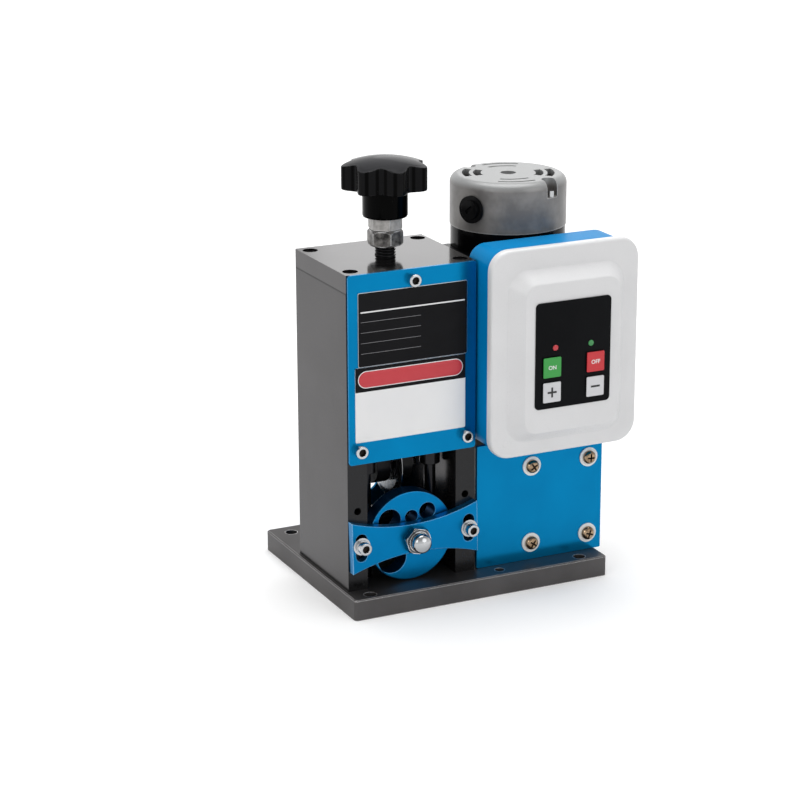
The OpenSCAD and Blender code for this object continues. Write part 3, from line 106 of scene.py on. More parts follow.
plainLook = {  # what a finish has where its own row says nothing else
    "metal": 0.0, "specular": 0.5, "rough": (0.32, 0.42), "bump": 0.05,
    "grain": 1500,  # fine noise per metre, for the gloss and the bump
    "stretch": (1, 1, 1),  # of the grain, along x, y and z
    "patches": 26,  # coarse noise per metre, between the two tones
    "edgeWearAndHighlight": 0.45, "edgeWidth": 0.7,
}
# the edge colour of a row is laid on its rounded edges: partly rubbed wear, partly painted highlight
finishLooks = {
    "greyPlate": {"slot": "dark_plate", "tones": ("#514f4f", "#595757"), "metal": 0.9,
        "rough": (0.44, 0.54), "grain": 1400, "edge": "#f0eeee", "edgeWearAndHighlight": 1.0, "edgeWidth": 1.1},
    "topPlate": {"slot": "dark_plate", "tones": ("#444243", "#4a4849"), "metal": 0.9,
        "rough": (0.09, 0.15), "grain": 1400, "bump": 0.03, "edge": "#a3a1a1", "seam": "#0c0c0d",
        "seamAt": 217.5},
    # the side plates' front faces are darkened: painted shade
    "sidePlate": {"slot": "dark_plate", "tones": ("#3d3b3c", "#434142"), "metal": 0.9,
        "rough": (0.2, 0.29), "grain": 1400, "edge": "#8d8b8b", "sawn": "#2d2d2e", "paintedFrontShadeBefore": -57.7,
        "seam": "#0c0c0d", "seamAt": 217.5},
    "bluePlate": {"slot": "blue_plate", "tones": ("#0074a8", "#007aaf"), "metal": 0.7, "specular": 0.1,
        "rough": (0.17, 0.25), "bump": 0.04, "edge": "#3fb0e6"},
    "boxBlue": {"slot": "blue_plate", "tones": ("#0084c2", "#0088c8"), "metal": 0.1, "specular": 0.06,
        "rough": (0.34, 0.44), "bump": 0.04, "edge": "#3fb0e6"},
    "blueAnodised": {"slot": "blue_plate", "tones": ("#006fa5", "#0074ab"), "metal": 0.85,
        "specular": 0.2, "rough": (0.3, 0.35), "grain": 1600, "bump": 0.012, "edge": "#c4eaff",
        "edgeWearAndHighlight": 1.0, "edgeWidth": 0.9},
    "ratingBlack": {"slot": "black_plate", "tones": ("#131315", "#18181a"), "specular": 0.07,
        "rough": (0.34, 0.44), "grain": 900, "bump": 0.03},
    "plateSilver": {"slot": "black_plate", "tones": ("#a9abad", "#b6b8ba"), "metal": 0.9,
        "rough": (0.3, 0.42), "grain": 700, "bump": 0.03},
    "printWhite": {"slot": "sticker", "tones": ("#f2f2f2", "#eeeeef"), "rough": (0.36, 0.46),
        "grain": 800, "bump": 0.03},
    "printGrey": {"slot": "black_plate", "tones": ("#8c8c8f", "#949497"), "rough": (0.4, 0.5),
        "grain": 800, "bump": 0.02},
    "printRed": {"slot": "sticker", "tones": ("#c6323c", "#cb3842"), "rough": (0.34, 0.44), "grain": 800,
        "bump": 0.03},
    "brightSteel": {"slot": "bright_steel", "tones": ("#c3c4c6", "#aeb0b2"), "metal": 1.0,
        "rough": (0.1, 0.22), "grain": 1800, "bump": 0.04},
    "nutSteel": {"slot": "bright_steel", "tones": ("#c6c3c0", "#a5a3a0"), "metal": 0.1, "specular": 0.25,
        "rough": (0.34, 0.46), "grain": 1300, "bump": 0.12, "patches": 260, "edge": "#fafafa",
        "edgeWearAndHighlight": 0.9, "edgeWidth": 1.1},
    "lockSteel": {"slot": "bright_steel", "tones": ("#918e8b", "#222120"), "metal": 0.2, "specular": 0.25,
        "rough": (0.24, 0.42), "grain": 1100, "bump": 0.2, "patches": 190, "edge": "#ffffff",
        "edgeWearAndHighlight": 1.0, "edgeWidth": 1.9},
    # the dome nut's hex, toned darker than its dome of the same steel: painted dark reflection
    "hexSteelPaintedDark": {"slot": "bright_steel", "tones": ("#6c6d6f", "#5a5b5d"), "metal": 1.0,
        "rough": (0.08, 0.14), "grain": 1800, "bump": 0.03, "edge": "#ffffff", "edgeWearAndHighlight": 1.0,
        "edgeWidth": 1.2},
    "passivated": {"slot": "bright_steel", "tones": ("#ae967a", "#7d6853"), "metal": 1.0,
        "rough": (0.14, 0.26), "patches": 320},
    # dark faces inside screw sockets and cross recesses: painted shade
    "paintedRecessShade": {"slot": "bright_steel", "tones": ("#1c1816", "#2a231e"), "metal": 0.3,
        "specular": 0.15, "rough": (0.35, 0.5), "grain": 1300},
    "groundSteel": {"slot": "ground_steel", "tones": ("#9c9ea0", "#8a8c8e"), "metal": 1.0,
        "rough": (0.2, 0.34), "stretch": (1, 1, 0.1), "bump": 0.1},
    "threadBlack": {"slot": "ground_steel", "tones": ("#1a1a1b", "#252526"), "metal": 0.8,
        "specular": 0.2, "rough": (0.24, 0.38), "grain": 1300, "bump": 0.08},
    # steel toned near black for the rods, collars and roller inside the tower: painted shade
    "paintedShadeRod": {"slot": "ground_steel", "tones": ("#2c2c2e", "#232325"), "metal": 0.9,
        "rough": (0.16, 0.26), "stretch": (1, 1, 0.1), "bump": 0.06},
    "blackSteel": {"slot": "black_steel", "tones": ("#121213", "#19191a"), "metal": 0.4, "specular": 0.2,
        "rough": (0.28, 0.42), "grain": 1300, "bump": 0.08, "edge": "#444446"},
    "knobBlack": {"slot": "knob_plastic", "tones": ("#0a0a0b", "#0d0d0e"), "specular": 0.09,
        "rough": (0.07, 0.13), "grain": 1700, "bump": 0.06},
    # the motor cap's top is painted lighter than its side: painted light from above
    "castAlloy": {"slot": "cast_alloy", "tones": ("#6a6765", "#83807d"), "metal": 0.18,
        "rough": (0.28, 0.42), "grain": 2100, "bump": 0.35, "patches": 70, "edge": "#c2c1bf",
        "edgeWearAndHighlight": 0.8, "edgeWidth": 1.6, "paintedTopLight": "#989999", "paintedTopLightAbove": 268.5},
    "motorBlack": {"slot": "motor_black", "tones": ("#060607", "#08080a"), "specular": 0.07,
        "rough": (0.13, 0.2), "grain": 600},
    "gearBronze": {"slot": "gear_bronze", "tones": ("#a57c39", "#b88c45"), "metal": 1.0,
        "rough": (0.26, 0.38), "grain": 1200, "bump": 0.06},
    "windingCopper": {"slot": "copper", "tones": ("#9a5a33", "#8a4e2b"), "metal": 0.8,
        "rough": (0.3, 0.45), "grain": 1600, "stretch": (1, 1, 0.05), "bump": 0.4},
    "brushCarbon": {"slot": "carbon", "tones": ("#262627", "#2d2d2e"), "rough": (0.55, 0.7), "bump": 0.1},
    "coverWhite": {"slot": "cover_white", "tones": ("#e4e4e5", "#e0e0e1"), "rough": (0.26, 0.34),
        "grain": 1300, "bump": 0.035},
    "washerWhite": {"slot": "washer_white", "tones": ("#f3f3f1", "#ebebe9"), "rough": (0.38, 0.5),
        "bump": 0.06},
    "panelBlack": {"slot": "panel_black", "tones": ("#0c0d0f", "#111214"), "specular": 0.05,
        "rough": (0.24, 0.32), "grain": 1600, "bump": 0.03},
    "boardGreen": {"slot": "board_green", "tones": ("#2c6a3b", "#255c33"), "rough": (0.36, 0.5),
        "grain": 600, "bump": 0.08},
    "lampRed": {"slot": "lamp", "tones": ("#c9343d", "#b82c35"), "rough": (0.14, 0.22), "grain": 900,
        "bump": 0.03},
    "lampGreen": {"slot": "lamp", "tones": ("#3f9b55", "#378d4c"), "rough": (0.14, 0.22), "grain": 900,
        "bump": 0.03},
    "buttonGreen": {"slot": "button_green", "tones": ("#35a044", "#2f9a3f")},
    "buttonRed": {"slot": "button_red", "tones": ("#d32f37", "#cb2a33")},
    "buttonGrey": {"slot": "button_grey", "tones": ("#dadadd", "#d3d3d6")},
    "signDark": {"slot": "button_grey", "tones": ("#101113", "#151618"), "rough": (0.4, 0.5),
        "grain": 900, "bump": 0.02},
    "signWhite": {"slot": "button_grey", "tones": ("#f0f1f0", "#e9eae9"), "rough": (0.4, 0.5),
        "grain": 900, "bump": 0.02},
}
# the disc's rim and the walls of its holes get painted shade, in the wall colour
finishLooks["discBlue"] = {**finishLooks["blueAnodised"], "wall": "#004a7c"}

finishDetail = {
    "noise": 3.0, "fineRoughness": 0.6, "coarseRoughness": 0.55,
    "bumpHeight": 0.05,  # millimetres
    "edgeSamples": 6,
}
blendSpans = {  # where each blend starts and where it is full
    "patches": (0.35, 0.65),  # of the coarse noise
    "grain": (0.3, 0.7),  # of the fine noise
    "edge": (0.985, 0.80),  # cosine between the face and the rounded edge
    "wall": (0.5, 0.2),  # how far a face looks along y
    "sawn": (0.2, 0.0),  # millimetres behind the front faces, for their painted shade
    "paintedTopLight": (-2.5, 1.0),  # millimetres above the height where the painted top light begins
    "seam": (0.75, 0.45),  # millimetres from the seam
    "reflectionBands": (-0.1, -0.8),  # of the wave round the knob
    "neck": (0.0, -0.5),  # millimetres outside the neck
    "side": (0.7, 0.3),  # how far a face looks up
    # how far a face looks up, for the painted highlight on the knob's top
    "crown": (0.86, 1.0),
}


def linear(code):  # "#rrggbb" as a linear colour, by the sRGB curve
    shares = [int(code[i:i + 2], 16) / 255 for i in (1, 3, 5)]
    return tuple(v / 12.92 if v <= 0.04045 else ((v + 0.055) / 1.055) ** 2.4 for v in shares) + (1.0,)


def mixColour(tree, share, first, second):
    return place(tree, "ShaderNodeMix", {0: share, 6: first, 7: second}, data_type="RGBA").outputs[2]


def noise(tree, spot, scale, roughness):
    return place(tree, "ShaderNodeTexNoise", {
        "Vector": spot, "Scale": scale, "Detail": finishDetail["noise"], "Roughness": roughness,
    }).outputs["Fac"]


def onPiece(tree, kind):  # "Object" is the place on the piece, "Normal" is where its face looks
    return split(tree, place(tree, "ShaderNodeTexCoord").outputs[kind])


def edgeWearAndHighlight(tree, look):  # edges a little brighter: partly rubbed wear, partly painted highlight
    radius = look["edgeWidth"] * mm
    rounded = place(tree, "ShaderNodeBevel", {"Radius": radius}, samples=finishDetail["edgeSamples"])
    flat = place(tree, "ShaderNodeNewGeometry")
    match = place(tree, "ShaderNodeVectorMath", {
        0: rounded.outputs["Normal"], 1: flat.outputs["Normal"]}, operation="DOT_PRODUCT")
    return remap(tree, match.outputs["Value"], *blendSpans["edge"], 0.0, look["edgeWearAndHighlight"])


def paintedWallShade(tree, look):  # painted shade on the disc's rim and the walls of its holes
    return remap(tree, calculate(tree, "ABSOLUTE", onPiece(tree, "Normal")["Y"]), *blendSpans["wall"])


def paintedFrontShadeShare(tree, look):  # painted shade on the front faces, darker than the other faces
    span = [(look["paintedFrontShadeBefore"] + step) * mm for step in blendSpans["sawn"]]
    return remap(tree, onPiece(tree, "Object")["Y"], *span)


def paintedTopLightShare(tree, look):  # painted light: the top lighter than the side
    span = [(look["paintedTopLightAbove"] + step) * mm for step in blendSpans["paintedTopLight"]]
    return remap(tree, onPiece(tree, "Object")["Z"], *span)


def seamShare(tree, look):  # the dark joint between two plates
    away = calculate(tree, "SUBTRACT", onPiece(tree, "Object")["Z"], look["seamAt"] * mm)
    return remap(tree, calculate(tree, "ABSOLUTE", away), *[step * mm for step in blendSpans["seam"]])


def paintedKnobReflections(tree, look):  # painted dark reflections: upright bands round the knob's sides, and its neck
    reflectionBands = look["reflectionBands"]
    spot = onPiece(tree, "Object")
    x, y = [calculate(tree, "SUBTRACT", spot[axis], reflectionBands[axis] * mm) for axis in ("X", "Y")]
    wave = waveAround(tree, x, y, math.radians(reflectionBands["turn"]), reflectionBands["bands"])
    reach = calculate(tree, "SQRT", squareSum(tree, x, y))
    neck = remap(tree, reach, *[(reflectionBands["neck"] + step) * mm for step in blendSpans["neck"]])
    dark = calculate(tree, "MAXIMUM", remap(tree, wave, *blendSpans["reflectionBands"]), neck)
    side = remap(tree, onPiece(tree, "Normal")["Z"], *blendSpans["side"])
    return calculate(tree, "MULTIPLY", dark, side)


def paintedCrownHighlight(tree, look):  # painted highlight: the knob's paler top
    return remap(tree, onPiece(tree, "Normal")["Z"], *blendSpans["crown"])


toneLayers = {  # further tones of a finish, in the order in which they are laid on
    "edge": edgeWearAndHighlight, "wall": paintedWallShade, "sawn": paintedFrontShadeShare, "paintedTopLight": paintedTopLightShare,
    "seam": seamShare, "paintedReflectionTone": paintedKnobReflections, "crown": paintedCrownHighlight,
}


def makeFinish(name, look):
    look = {**plainLook, **look}
    material = bpy.data.materials.new(name)
    material.use_nodes = True
    tree = material.node_tree
    shader = tree.nodes["Principled BSDF"]
    spot = place(tree, "ShaderNodeTexCoord").outputs["Object"]
    drawn = place(tree, "ShaderNodeMapping", {"Vector": spot, "Scale": look["stretch"]})
    grain = noise(tree, drawn.outputs["Vector"], look["grain"], finishDetail["fineRoughness"])
    patches = noise(tree, spot, look["patches"], finishDetail["coarseRoughness"])
    first, second = [linear(code) for code in look["tones"]]
    tone = mixColour(tree, remap(tree, patches, *blendSpans["patches"]), first, second)
    for key, share in toneLayers.items():
        if key in look:
            tone = mixColour(tree, share(tree, look), tone, linear(look[key]))
    bump = place(tree, "ShaderNodeBump", {
        "Height": grain, "Strength": look["bump"], "Distance": finishDetail["bumpHeight"] * mm})
    rough = remap(tree, grain, *blendSpans["grain"], *look["rough"])
    for label, value in (("Base Color", tone), ("Roughness", rough), ("Normal", bump.outputs["Normal"])):
        tree.links.new(value, shader.inputs[label])
    shader.inputs["Metallic"].default_value = look["metal"]
    shader.inputs["Specular IOR Level"].default_value = look["specular"]
    return material


finishOf = {name: makeFinish(name, look) for name, look in finishLooks.items()}
print("finishes:", len(finishOf))


# meshes

def softPath(stops, steps=4, closed=False):  # stops are (values, softness); corners become short curves
    points = []
    for i, (corner, soft) in enumerate(stops):
        corner = Vector(corner)
        if soft <= 0 or (not closed and i in (0, len(stops) - 1)):
            points.append(corner)
            continue
        before = Vector(stops[i - 1][0])
        after = Vector(stops[(i + 1) % len(stops)][0])
        start = corner.lerp(before, min(0.5, soft / (before - corner).length))
        end = corner.lerp(after, min(0.5, soft / (after - corner).length))
        for k in range(steps + 1):
            t = k / steps
            points.append(start.lerp(corner, t).lerp(corner.lerp(end, t), t))
    return points


def shapedRing(radiusAt, height, count):  # radiusAt gives the radius for an angle in degrees
    ring = []
    for i in range(count):
        turn = 360 * i / count
        radius, angle = radiusAt(turn), math.radians(turn)
        ring.append(Vector((radius * math.cos(angle), radius * math.sin(angle), height)))
    return ring


poleWidth = 0.001  # a ring narrower than this is a single point
roundSteps = 72  # points round a screw head or a nut


def turnedRing(radius, height, count=64):
    return shapedRing(lambda turn: radius, height, count if radius > poleWidth else 1)


def nutRing(flats, limit, height):  # a hexagon whose corners a cone cuts back to limit
    return shapedRing(lambda turn: min(flats / 2 / math.cos(math.radians(turn % 60 - 30)), limit),
                      height, roundSteps)


def cornerRing(x0, x1, z0, z1, radius, y, steps=10):  # a rectangle with round corners, facing -y
    ring = []
    centres = ((x1 - radius, z1 - radius), (x0 + radius, z1 - radius),
               (x0 + radius, z0 + radius), (x1 - radius, z0 + radius))
    for quarter, (cx, cz) in enumerate(centres):
        for k in range(steps + 1):
            angle = math.pi / 2 * (quarter + k / steps)
            ring.append(Vector((cx + radius * math.cos(angle), y, cz + radius * math.sin(angle))))
    return ring


def skin(rings, closed=False):  # faces from each ring to the next, and caps unless it closes on itself
    bm = bmesh.new()
    loops = [[bm.verts.new(point) for point in ring] for ring in rings]
    pairs = list(zip(loops, loops[1:])) + ([(loops[-1], loops[0])] if closed else [])
    for first, second in pairs:
        count = max(len(first), len(second))
        for i in range(count):
            j = (i + 1) % count
            around = (first[i % len(first)], first[j % len(first)],
                      second[j % len(second)], second[i % len(second)])
            bm.faces.new(list(dict.fromkeys(around)))
    if not closed:
        for loop in (loops[0], loops[-1]):
            if len(loop) > 2:
                bm.faces.new(loop)
    bmesh.ops.recalc_face_normals(bm, faces=bm.faces)
    return bm


def turned(stops, count=64, closed=False):  # a shape turned about z; stops are ((radius, height), softness)
    return skin([turnedRing(*point, count) for point in softPath(stops, closed=closed)], closed)


def lofted(stops, steps=4, cornerSteps=10, closed=False):  # stops are (cornerRing's values, softness)
    return skin([cornerRing(*stop, cornerSteps) for stop in softPath(stops, steps, closed)], closed)


def settled(bm, name):  # the shape as a mesh
    mesh = bpy.data.meshes.new(name)
    bm.to_mesh(mesh)
    bm.free()
    return mesh


def shade(mesh, crease=38):  # smooth, but sharp past crease degrees
    mesh.shade_smooth()
    mesh.set_sharp_from_angle(angle=math.radians(crease))
    return mesh


def meshOf(bm, name, placing=None, crease=38):  # millimetres in, metres out
    mesh = settled(bm, name)
    mesh.transform(Matrix.Scale(mm, 4) @ (placing or Matrix.Identity(4)))
    return shade(mesh, crease)


def pieceName(nodeName):  # base_plate becomes basePlate
    first, *rest = nodeName.split("_")
    return first + "".join(word.capitalize() for word in rest)


def linked(name, data):  # a new object in the scene
    thing = bpy.data.objects.new(name, data)
    bpy.context.scene.collection.objects.link(thing)
    return thing


def addPiece(name, mesh, finish, standsFor=(), body="frame"):
    if finish:
        mesh.materials.clear()
        mesh.materials.append(finishOf[finish])
    piece = linked(name, mesh)
    if standsFor:
        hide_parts(*standsFor)
    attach(piece, nodes[standsFor[0]]["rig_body"] if standsFor else body)


def solved(carrier):  # the mesh with its modifiers applied; the carrier itself goes
    bpy.context.view_layer.update()
    depsgraph = bpy.context.evaluated_depsgraph_get()
    mesh = bpy.data.meshes.new_from_object(carrier.evaluated_get(depsgraph), depsgraph=depsgraph)
    carrier.modifiers.clear()
    bpy.data.objects.remove(carrier)
    return mesh


weldWithin = 0.002  # millimetres between points that are one


def mergedSolids(nodeName):  # a CAD node's triangles, joined into closed shells, in metres
    bm = bmesh.new()
    bm.from_mesh(nodes[nodeName].data)
    bmesh.ops.remove_doubles(bm, verts=bm.verts, dist=weldWithin * mm)
    return bm


def solidBoxes(nodeName):  # lowest and highest corner of each separate solid in a node, in millimetres
    bm = mergedSolids(nodeName)
    left = set(bm.verts)
    boxes = []
    while left:
        stack = [left.pop()]
        low, high = stack[0].co.copy(), stack[0].co.copy()
        while stack:
            vert = stack.pop()
            low = Vector(map(min, low, vert.co))
            high = Vector(map(max, high, vert.co))
            for edge in vert.link_edges:
                other = edge.other_vert(vert)
                if other in left:
                    left.discard(other)
                    stack.append(other)
        boxes.append((low / mm, high / mm))
    bm.free()
    return sorted(boxes, key=lambda box: tuple(box[0]))


def boxOf(nodeName):  # a node's corners in millimetres
    low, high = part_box(nodeName)
    return low / mm, high / mm


def middle(low, high, **fixed):  # between two corners, except for the coordinates given
    at = (low + high) / 2
    for axis, value in fixed.items():
        setattr(at, axis, value)
    return at


def outlineOf(nodeName):  # left, right, bottom and top, seen from the front
    low, high = boxOf(nodeName)
    return [low.x, high.x, low.z, high.z]


def inward(rect, *by):  # by one width, or by one for each of left, right, bottom and top
    left, right, bottom, top = by if len(by) == 4 else by * 4
    return [rect[0] + left, rect[1] - right, rect[2] + bottom, rect[3] - top]


def axisFacing(aim, at):  # turns +z towards aim and moves the origin to at
    return Matrix.Translation(at) @ Vector(aim).to_track_quat("Z", "Y").to_matrix().to_4x4()


forward = (0, -1, 0)  # out of the machine's front


# geometry node trees

def newTree(name, sockets):  # sockets are (label, type, value)
    tree = bpy.data.node_groups.new(name, "GeometryNodeTree")
    tree.interface.new_socket("Geometry", in_out="INPUT", socket_type="NodeSocketGeometry")
    for label, kind, value in sockets:
        socket = tree.interface.new_socket(label, in_out="INPUT", socket_type="NodeSocket" + kind)
        if value is not None:
            socket.default_value = value
    tree.interface.new_socket("Geometry", in_out="OUTPUT", socket_type="NodeSocketGeometry")
    return tree, place(tree, "NodeGroupInput").outputs


def attribute(tree, name, kind):  # a value stored on the mesh
    return place(tree, "GeometryNodeInputNamedAttribute", {"Name": name}, data_type=kind).outputs[0]


def endTree(tree, geometry, finish, recessShadeFinish=None):
    real = place(tree, "GeometryNodeRealizeInstances", {"Geometry": geometry})
    painted = place(tree, "GeometryNodeSetMaterial", {"Geometry": real.outputs[0], "Material": finish})
    if recessShadeFinish:
        painted = place(tree, "GeometryNodeSetMaterial", {
            "Geometry": painted.outputs[0], "Selection": attribute(tree, "recess", "BOOLEAN"),
            "Material": recessShadeFinish})
    place(tree, "NodeGroupOutput", {"Geometry": painted.outputs[0]})


def grown(mesh, tree, values):  # runs a tree on a mesh and gives the plain result
    carrier = linked("carrier", mesh)
    modifier = carrier.modifiers.new("grow", "NODES")
    modifier.node_group = tree
    for item in tree.interface.items_tree:
        if item.in_out == "INPUT" and item.name in values:
            modifier[item.identifier] = values[item.name]
    result = solved(carrier)
    while len(result.materials) > 1 and not result.materials[0]:
        result.materials.pop(index=0)
    return result


def makeFastenerTree():  # sets one fastener at every point, its head towards the point's aim
    tree, given = newTree("fastenersOnPoints", [
        ("Fastener", "Object", None), ("Width", "Float", 0.0085), ("Height", "Float", 0.005),
        ("Turn Seed", "Int", 3), ("Turn Spread", "Float", 6.283), ("Finish", "Material", None),
        ("Recess Shade Finish", "Material", None)])
    points = place(tree, "GeometryNodeMeshToPoints", {"Mesh": given["Geometry"]})
    facing = place(tree, "FunctionNodeAlignRotationToVector", {
        "Vector": attribute(tree, "aim", "FLOAT_VECTOR")}, axis="Z")
    spin = place(tree, "FunctionNodeRandomValue", {
        2: 0.0, 3: given["Turn Spread"], 8: given["Turn Seed"]}, data_type="FLOAT")
    about = place(tree, "FunctionNodeAxisAngleToRotation", {"Axis": (0, 0, 1), "Angle": spin.outputs[1]})
    turnedBy = place(tree, "FunctionNodeRotateRotation", {
        "Rotation": facing.outputs[0], "Rotate By": about.outputs[0]}, rotation_space="LOCAL")
    pattern = place(tree, "GeometryNodeObjectInfo", {"Object": given["Fastener"]})
    size = place(tree, "ShaderNodeCombineXYZ", {
        "X": given["Width"], "Y": given["Width"], "Z": given["Height"]})
    copies = place(tree, "GeometryNodeInstanceOnPoints", {
        "Points": points.outputs[0], "Instance": pattern.outputs["Geometry"],
        "Rotation": turnedBy.outputs[0], "Scale": size.outputs[0]})
    endTree(tree, copies.outputs[0], given["Finish"], given["Recess Shade Finish"])
    return tree


threadSteps = {"turn": 28, "ridge": 4, "core": 40}  # points round one turn, the ridge and the core


def makeThreadTree():  # a core bar with one ridge wound round it, upwards from the origin
    tree, given = newTree("windThread", [
        ("Core Radius", "Float", 0.006), ("Thread Depth", "Float", 0.001), ("Pitch", "Float", 0.002),
        ("Length", "Float", 0.1), ("Finish", "Material", None)])
    turns = calculate(tree, "DIVIDE", given["Length"], given["Pitch"])
    helix = place(tree, "GeometryNodeCurveSpiral", {
        "Resolution": threadSteps["turn"], "Rotations": turns, "Start Radius": given["Core Radius"],
        "End Radius": given["Core Radius"], "Height": given["Length"]})
    upright = place(tree, "GeometryNodeSetCurveNormal", {"Curve": helix.outputs[0]}, mode="Z_UP")
    ridge = place(tree, "GeometryNodeCurvePrimitiveCircle", {
        "Resolution": threadSteps["ridge"], "Radius": given["Thread Depth"]}, mode="RADIUS")
    wound = place(tree, "GeometryNodeCurveToMesh", {
        "Curve": upright.outputs[0], "Profile Curve": ridge.outputs[0], "Fill Caps": True})
    core = place(tree, "GeometryNodeMeshCylinder", {
        "Vertices": threadSteps["core"], "Radius": given["Core Radius"], "Depth": given["Length"]})
    lift = place(tree, "ShaderNodeCombineXYZ", {"Z": calculate(tree, "MULTIPLY", given["Length"], 0.5)})
    raised = place(tree, "GeometryNodeTransform", {
        "Geometry": core.outputs[0], "Translation": lift.outputs[0]})
    both = place(tree, "GeometryNodeJoinGeometry")
    for part in (wound, raised):
        tree.links.new(part.outputs[0], both.inputs[0])
    endTree(tree, both.outputs[0], given["Finish"])
    return tree


leastRadius = 0.0001  # metres, so that nothing on the axis is divided by zero


def makeLobeTree():  # cuts even valleys into a turned blank whose points say how much they give way
    tree, given = newTree("cutLobes", [
        ("Lobes", "Int", 7), ("Valley Depth", "Float", 0.006), ("Valley Sharpness", "Float", 1.5),
        ("Turn", "Float", 0.0), ("Outer Radius", "Float", 0.028), ("Dome Drop", "Float", 0.005),
        ("Finish", "Material", None)])
    spot = split(tree, place(tree, "GeometryNodeInputPosition").outputs[0])
    share, domeShare = [attribute(tree, label, "FLOAT") for label in ("lobeShare", "domeShare")]
    wave = waveAround(tree, spot["X"], spot["Y"], given["Turn"], given["Lobes"])
    low = calculate(tree, "MULTIPLY", calculate(tree, "SUBTRACT", 1.0, wave), 0.5)
    cutIn = calculate(tree, "MULTIPLY", calculate(tree, "POWER", low, given["Valley Sharpness"]),
                      calculate(tree, "MULTIPLY", given["Valley Depth"], share))
    oldSquare = squareSum(tree, spot["X"], spot["Y"])
    oldRadius = calculate(tree, "MAXIMUM", calculate(tree, "SQRT", oldSquare), leastRadius)
    newRadius = calculate(tree, "SUBTRACT", oldRadius, cutIn)
    ratio = calculate(tree, "DIVIDE", newRadius, oldRadius)
    gained = calculate(tree, "SUBTRACT", oldSquare, calculate(tree, "MULTIPLY", newRadius, newRadius))
    rimSquare = calculate(tree, "MULTIPLY", given["Outer Radius"], given["Outer Radius"])
    rise = calculate(tree, "MULTIPLY", calculate(tree, "DIVIDE", gained, rimSquare),
                     calculate(tree, "MULTIPLY", given["Dome Drop"], domeShare))
    moved = place(tree, "ShaderNodeCombineXYZ", {
        "X": calculate(tree, "MULTIPLY", spot["X"], ratio),
        "Y": calculate(tree, "MULTIPLY", spot["Y"], ratio),
        "Z": calculate(tree, "ADD", spot["Z"], rise)})
    shaped = place(tree, "GeometryNodeSetPosition", {
        "Geometry": given["Geometry"], "Position": moved.outputs[0]})
    smooth = place(tree, "GeometryNodeSetShadeSmooth", {"Geometry": shaped.outputs[0]})
    endTree(tree, smooth.outputs[0], given["Finish"])
    return tree


fastenerTree = makeFastenerTree()
threadTree = makeThreadTree()
lobeTree = makeLobeTree()
print("node trees ready")


# plates, blocks and castings that keep the shape of their node

roundedPlates = {  # finish, and edge rounding in millimetres
    "base_plate": ("greyPlate", 0.6),
    "left_side_plate": ("sidePlate", 0.5),
    "right_side_plate": ("sidePlate", 0.5),
    "top_block": ("topPlate", 0.5),
    "front_cover": ("bluePlate", 0.3),
    "back_cover": ("bluePlate", 0.3),
    "gearbox_plate": ("bluePlate", 0.3),
    "guide_bracket": ("blueAnodised", 0.4),
    "guide_disc": ("discBlue", 0.5),
    "gearbox_housing": ("blackSteel", 0.8),
    "gearbox_lid": ("blackSteel", 0.8),
    "motor_body": ("motorBlack", 0.5),
    "motor_clamp": ("motorBlack", 0.6),
    "motor_end_cap": ("castAlloy", 0.5),
    "brush_caps": ("knobBlack", 0.3),
    "blade_carriage": ("blackSteel", 0.6),
    "spindle_keeper": ("groundSteel", 0.4),
    "control_panel": ("panelBlack", 0.12),
    "cable_gland": ("knobBlack", 0.4),
    "pivot_bolt": ("brightSteel", 0.3),
    "stop_collars": ("paintedShadeRod", 0.4),
}
rounding = {"flatWithin": 0.5, "edgesPast": 40, "segments": 2}  # the first two in degrees


def roundedCopy(nodeName, finish, width):  # the node's own shape with its edges rounded
    bm = mergedSolids(nodeName)
    flat = math.radians(rounding["flatWithin"])
    bmesh.ops.dissolve_limit(bm, angle_limit=flat, verts=bm.verts, edges=bm.edges)
    name = pieceName(nodeName)
    carrier = linked("rounding", settled(bm, name))
    bevel = carrier.modifiers.new("edges", "BEVEL")
    bevel.width = width * mm
    bevel.segments = rounding["segments"]
    bevel.limit_method = "ANGLE"
    bevel.angle_limit = math.radians(rounding["edgesPast"])
    bevel.use_clamp_overlap = True
    carrier.data.shade_smooth()
    weights = carrier.modifiers.new("normals", "WEIGHTED_NORMAL")
    weights.mode = "FACE_AREA_WITH_ANGLE"
    weights.keep_sharp = False
    addPiece(name, solved(carrier), finish, [nodeName])


for nodeName, (finish, width) in roundedPlates.items():
    roundedCopy(nodeName, finish, width)
print("rounded plates and castings:", len(roundedPlates))


# white cover and blue box of the controls

coverShape = {
    "cornerRadius": 14.0,
    "backLip": 4.6,  # width of the rim seen from behind
    "rimDepth": 6.0,
    "raisedInset": (12.0, 12.0, 10.0, 14.0),  # left, right, bottom, top
    "raisedRadius": 14.0,
    "slope": 8.0,
    "topRadius": 9.0,
    "wall": 2.6,
    "windowInset": 3.0,  # the panel covers the window's edge by this much
    "windowRadius": 2.0,
    "innerInset": 1.0,
    # softness of the bends, from the back round the edge and the slope to the inside
    "lip": 0.4, "back": 0.8, "edge": 3.4, "foot": 1.0, "brow": 1.5, "inner": 1.5, "lipInside": 0.5,
}


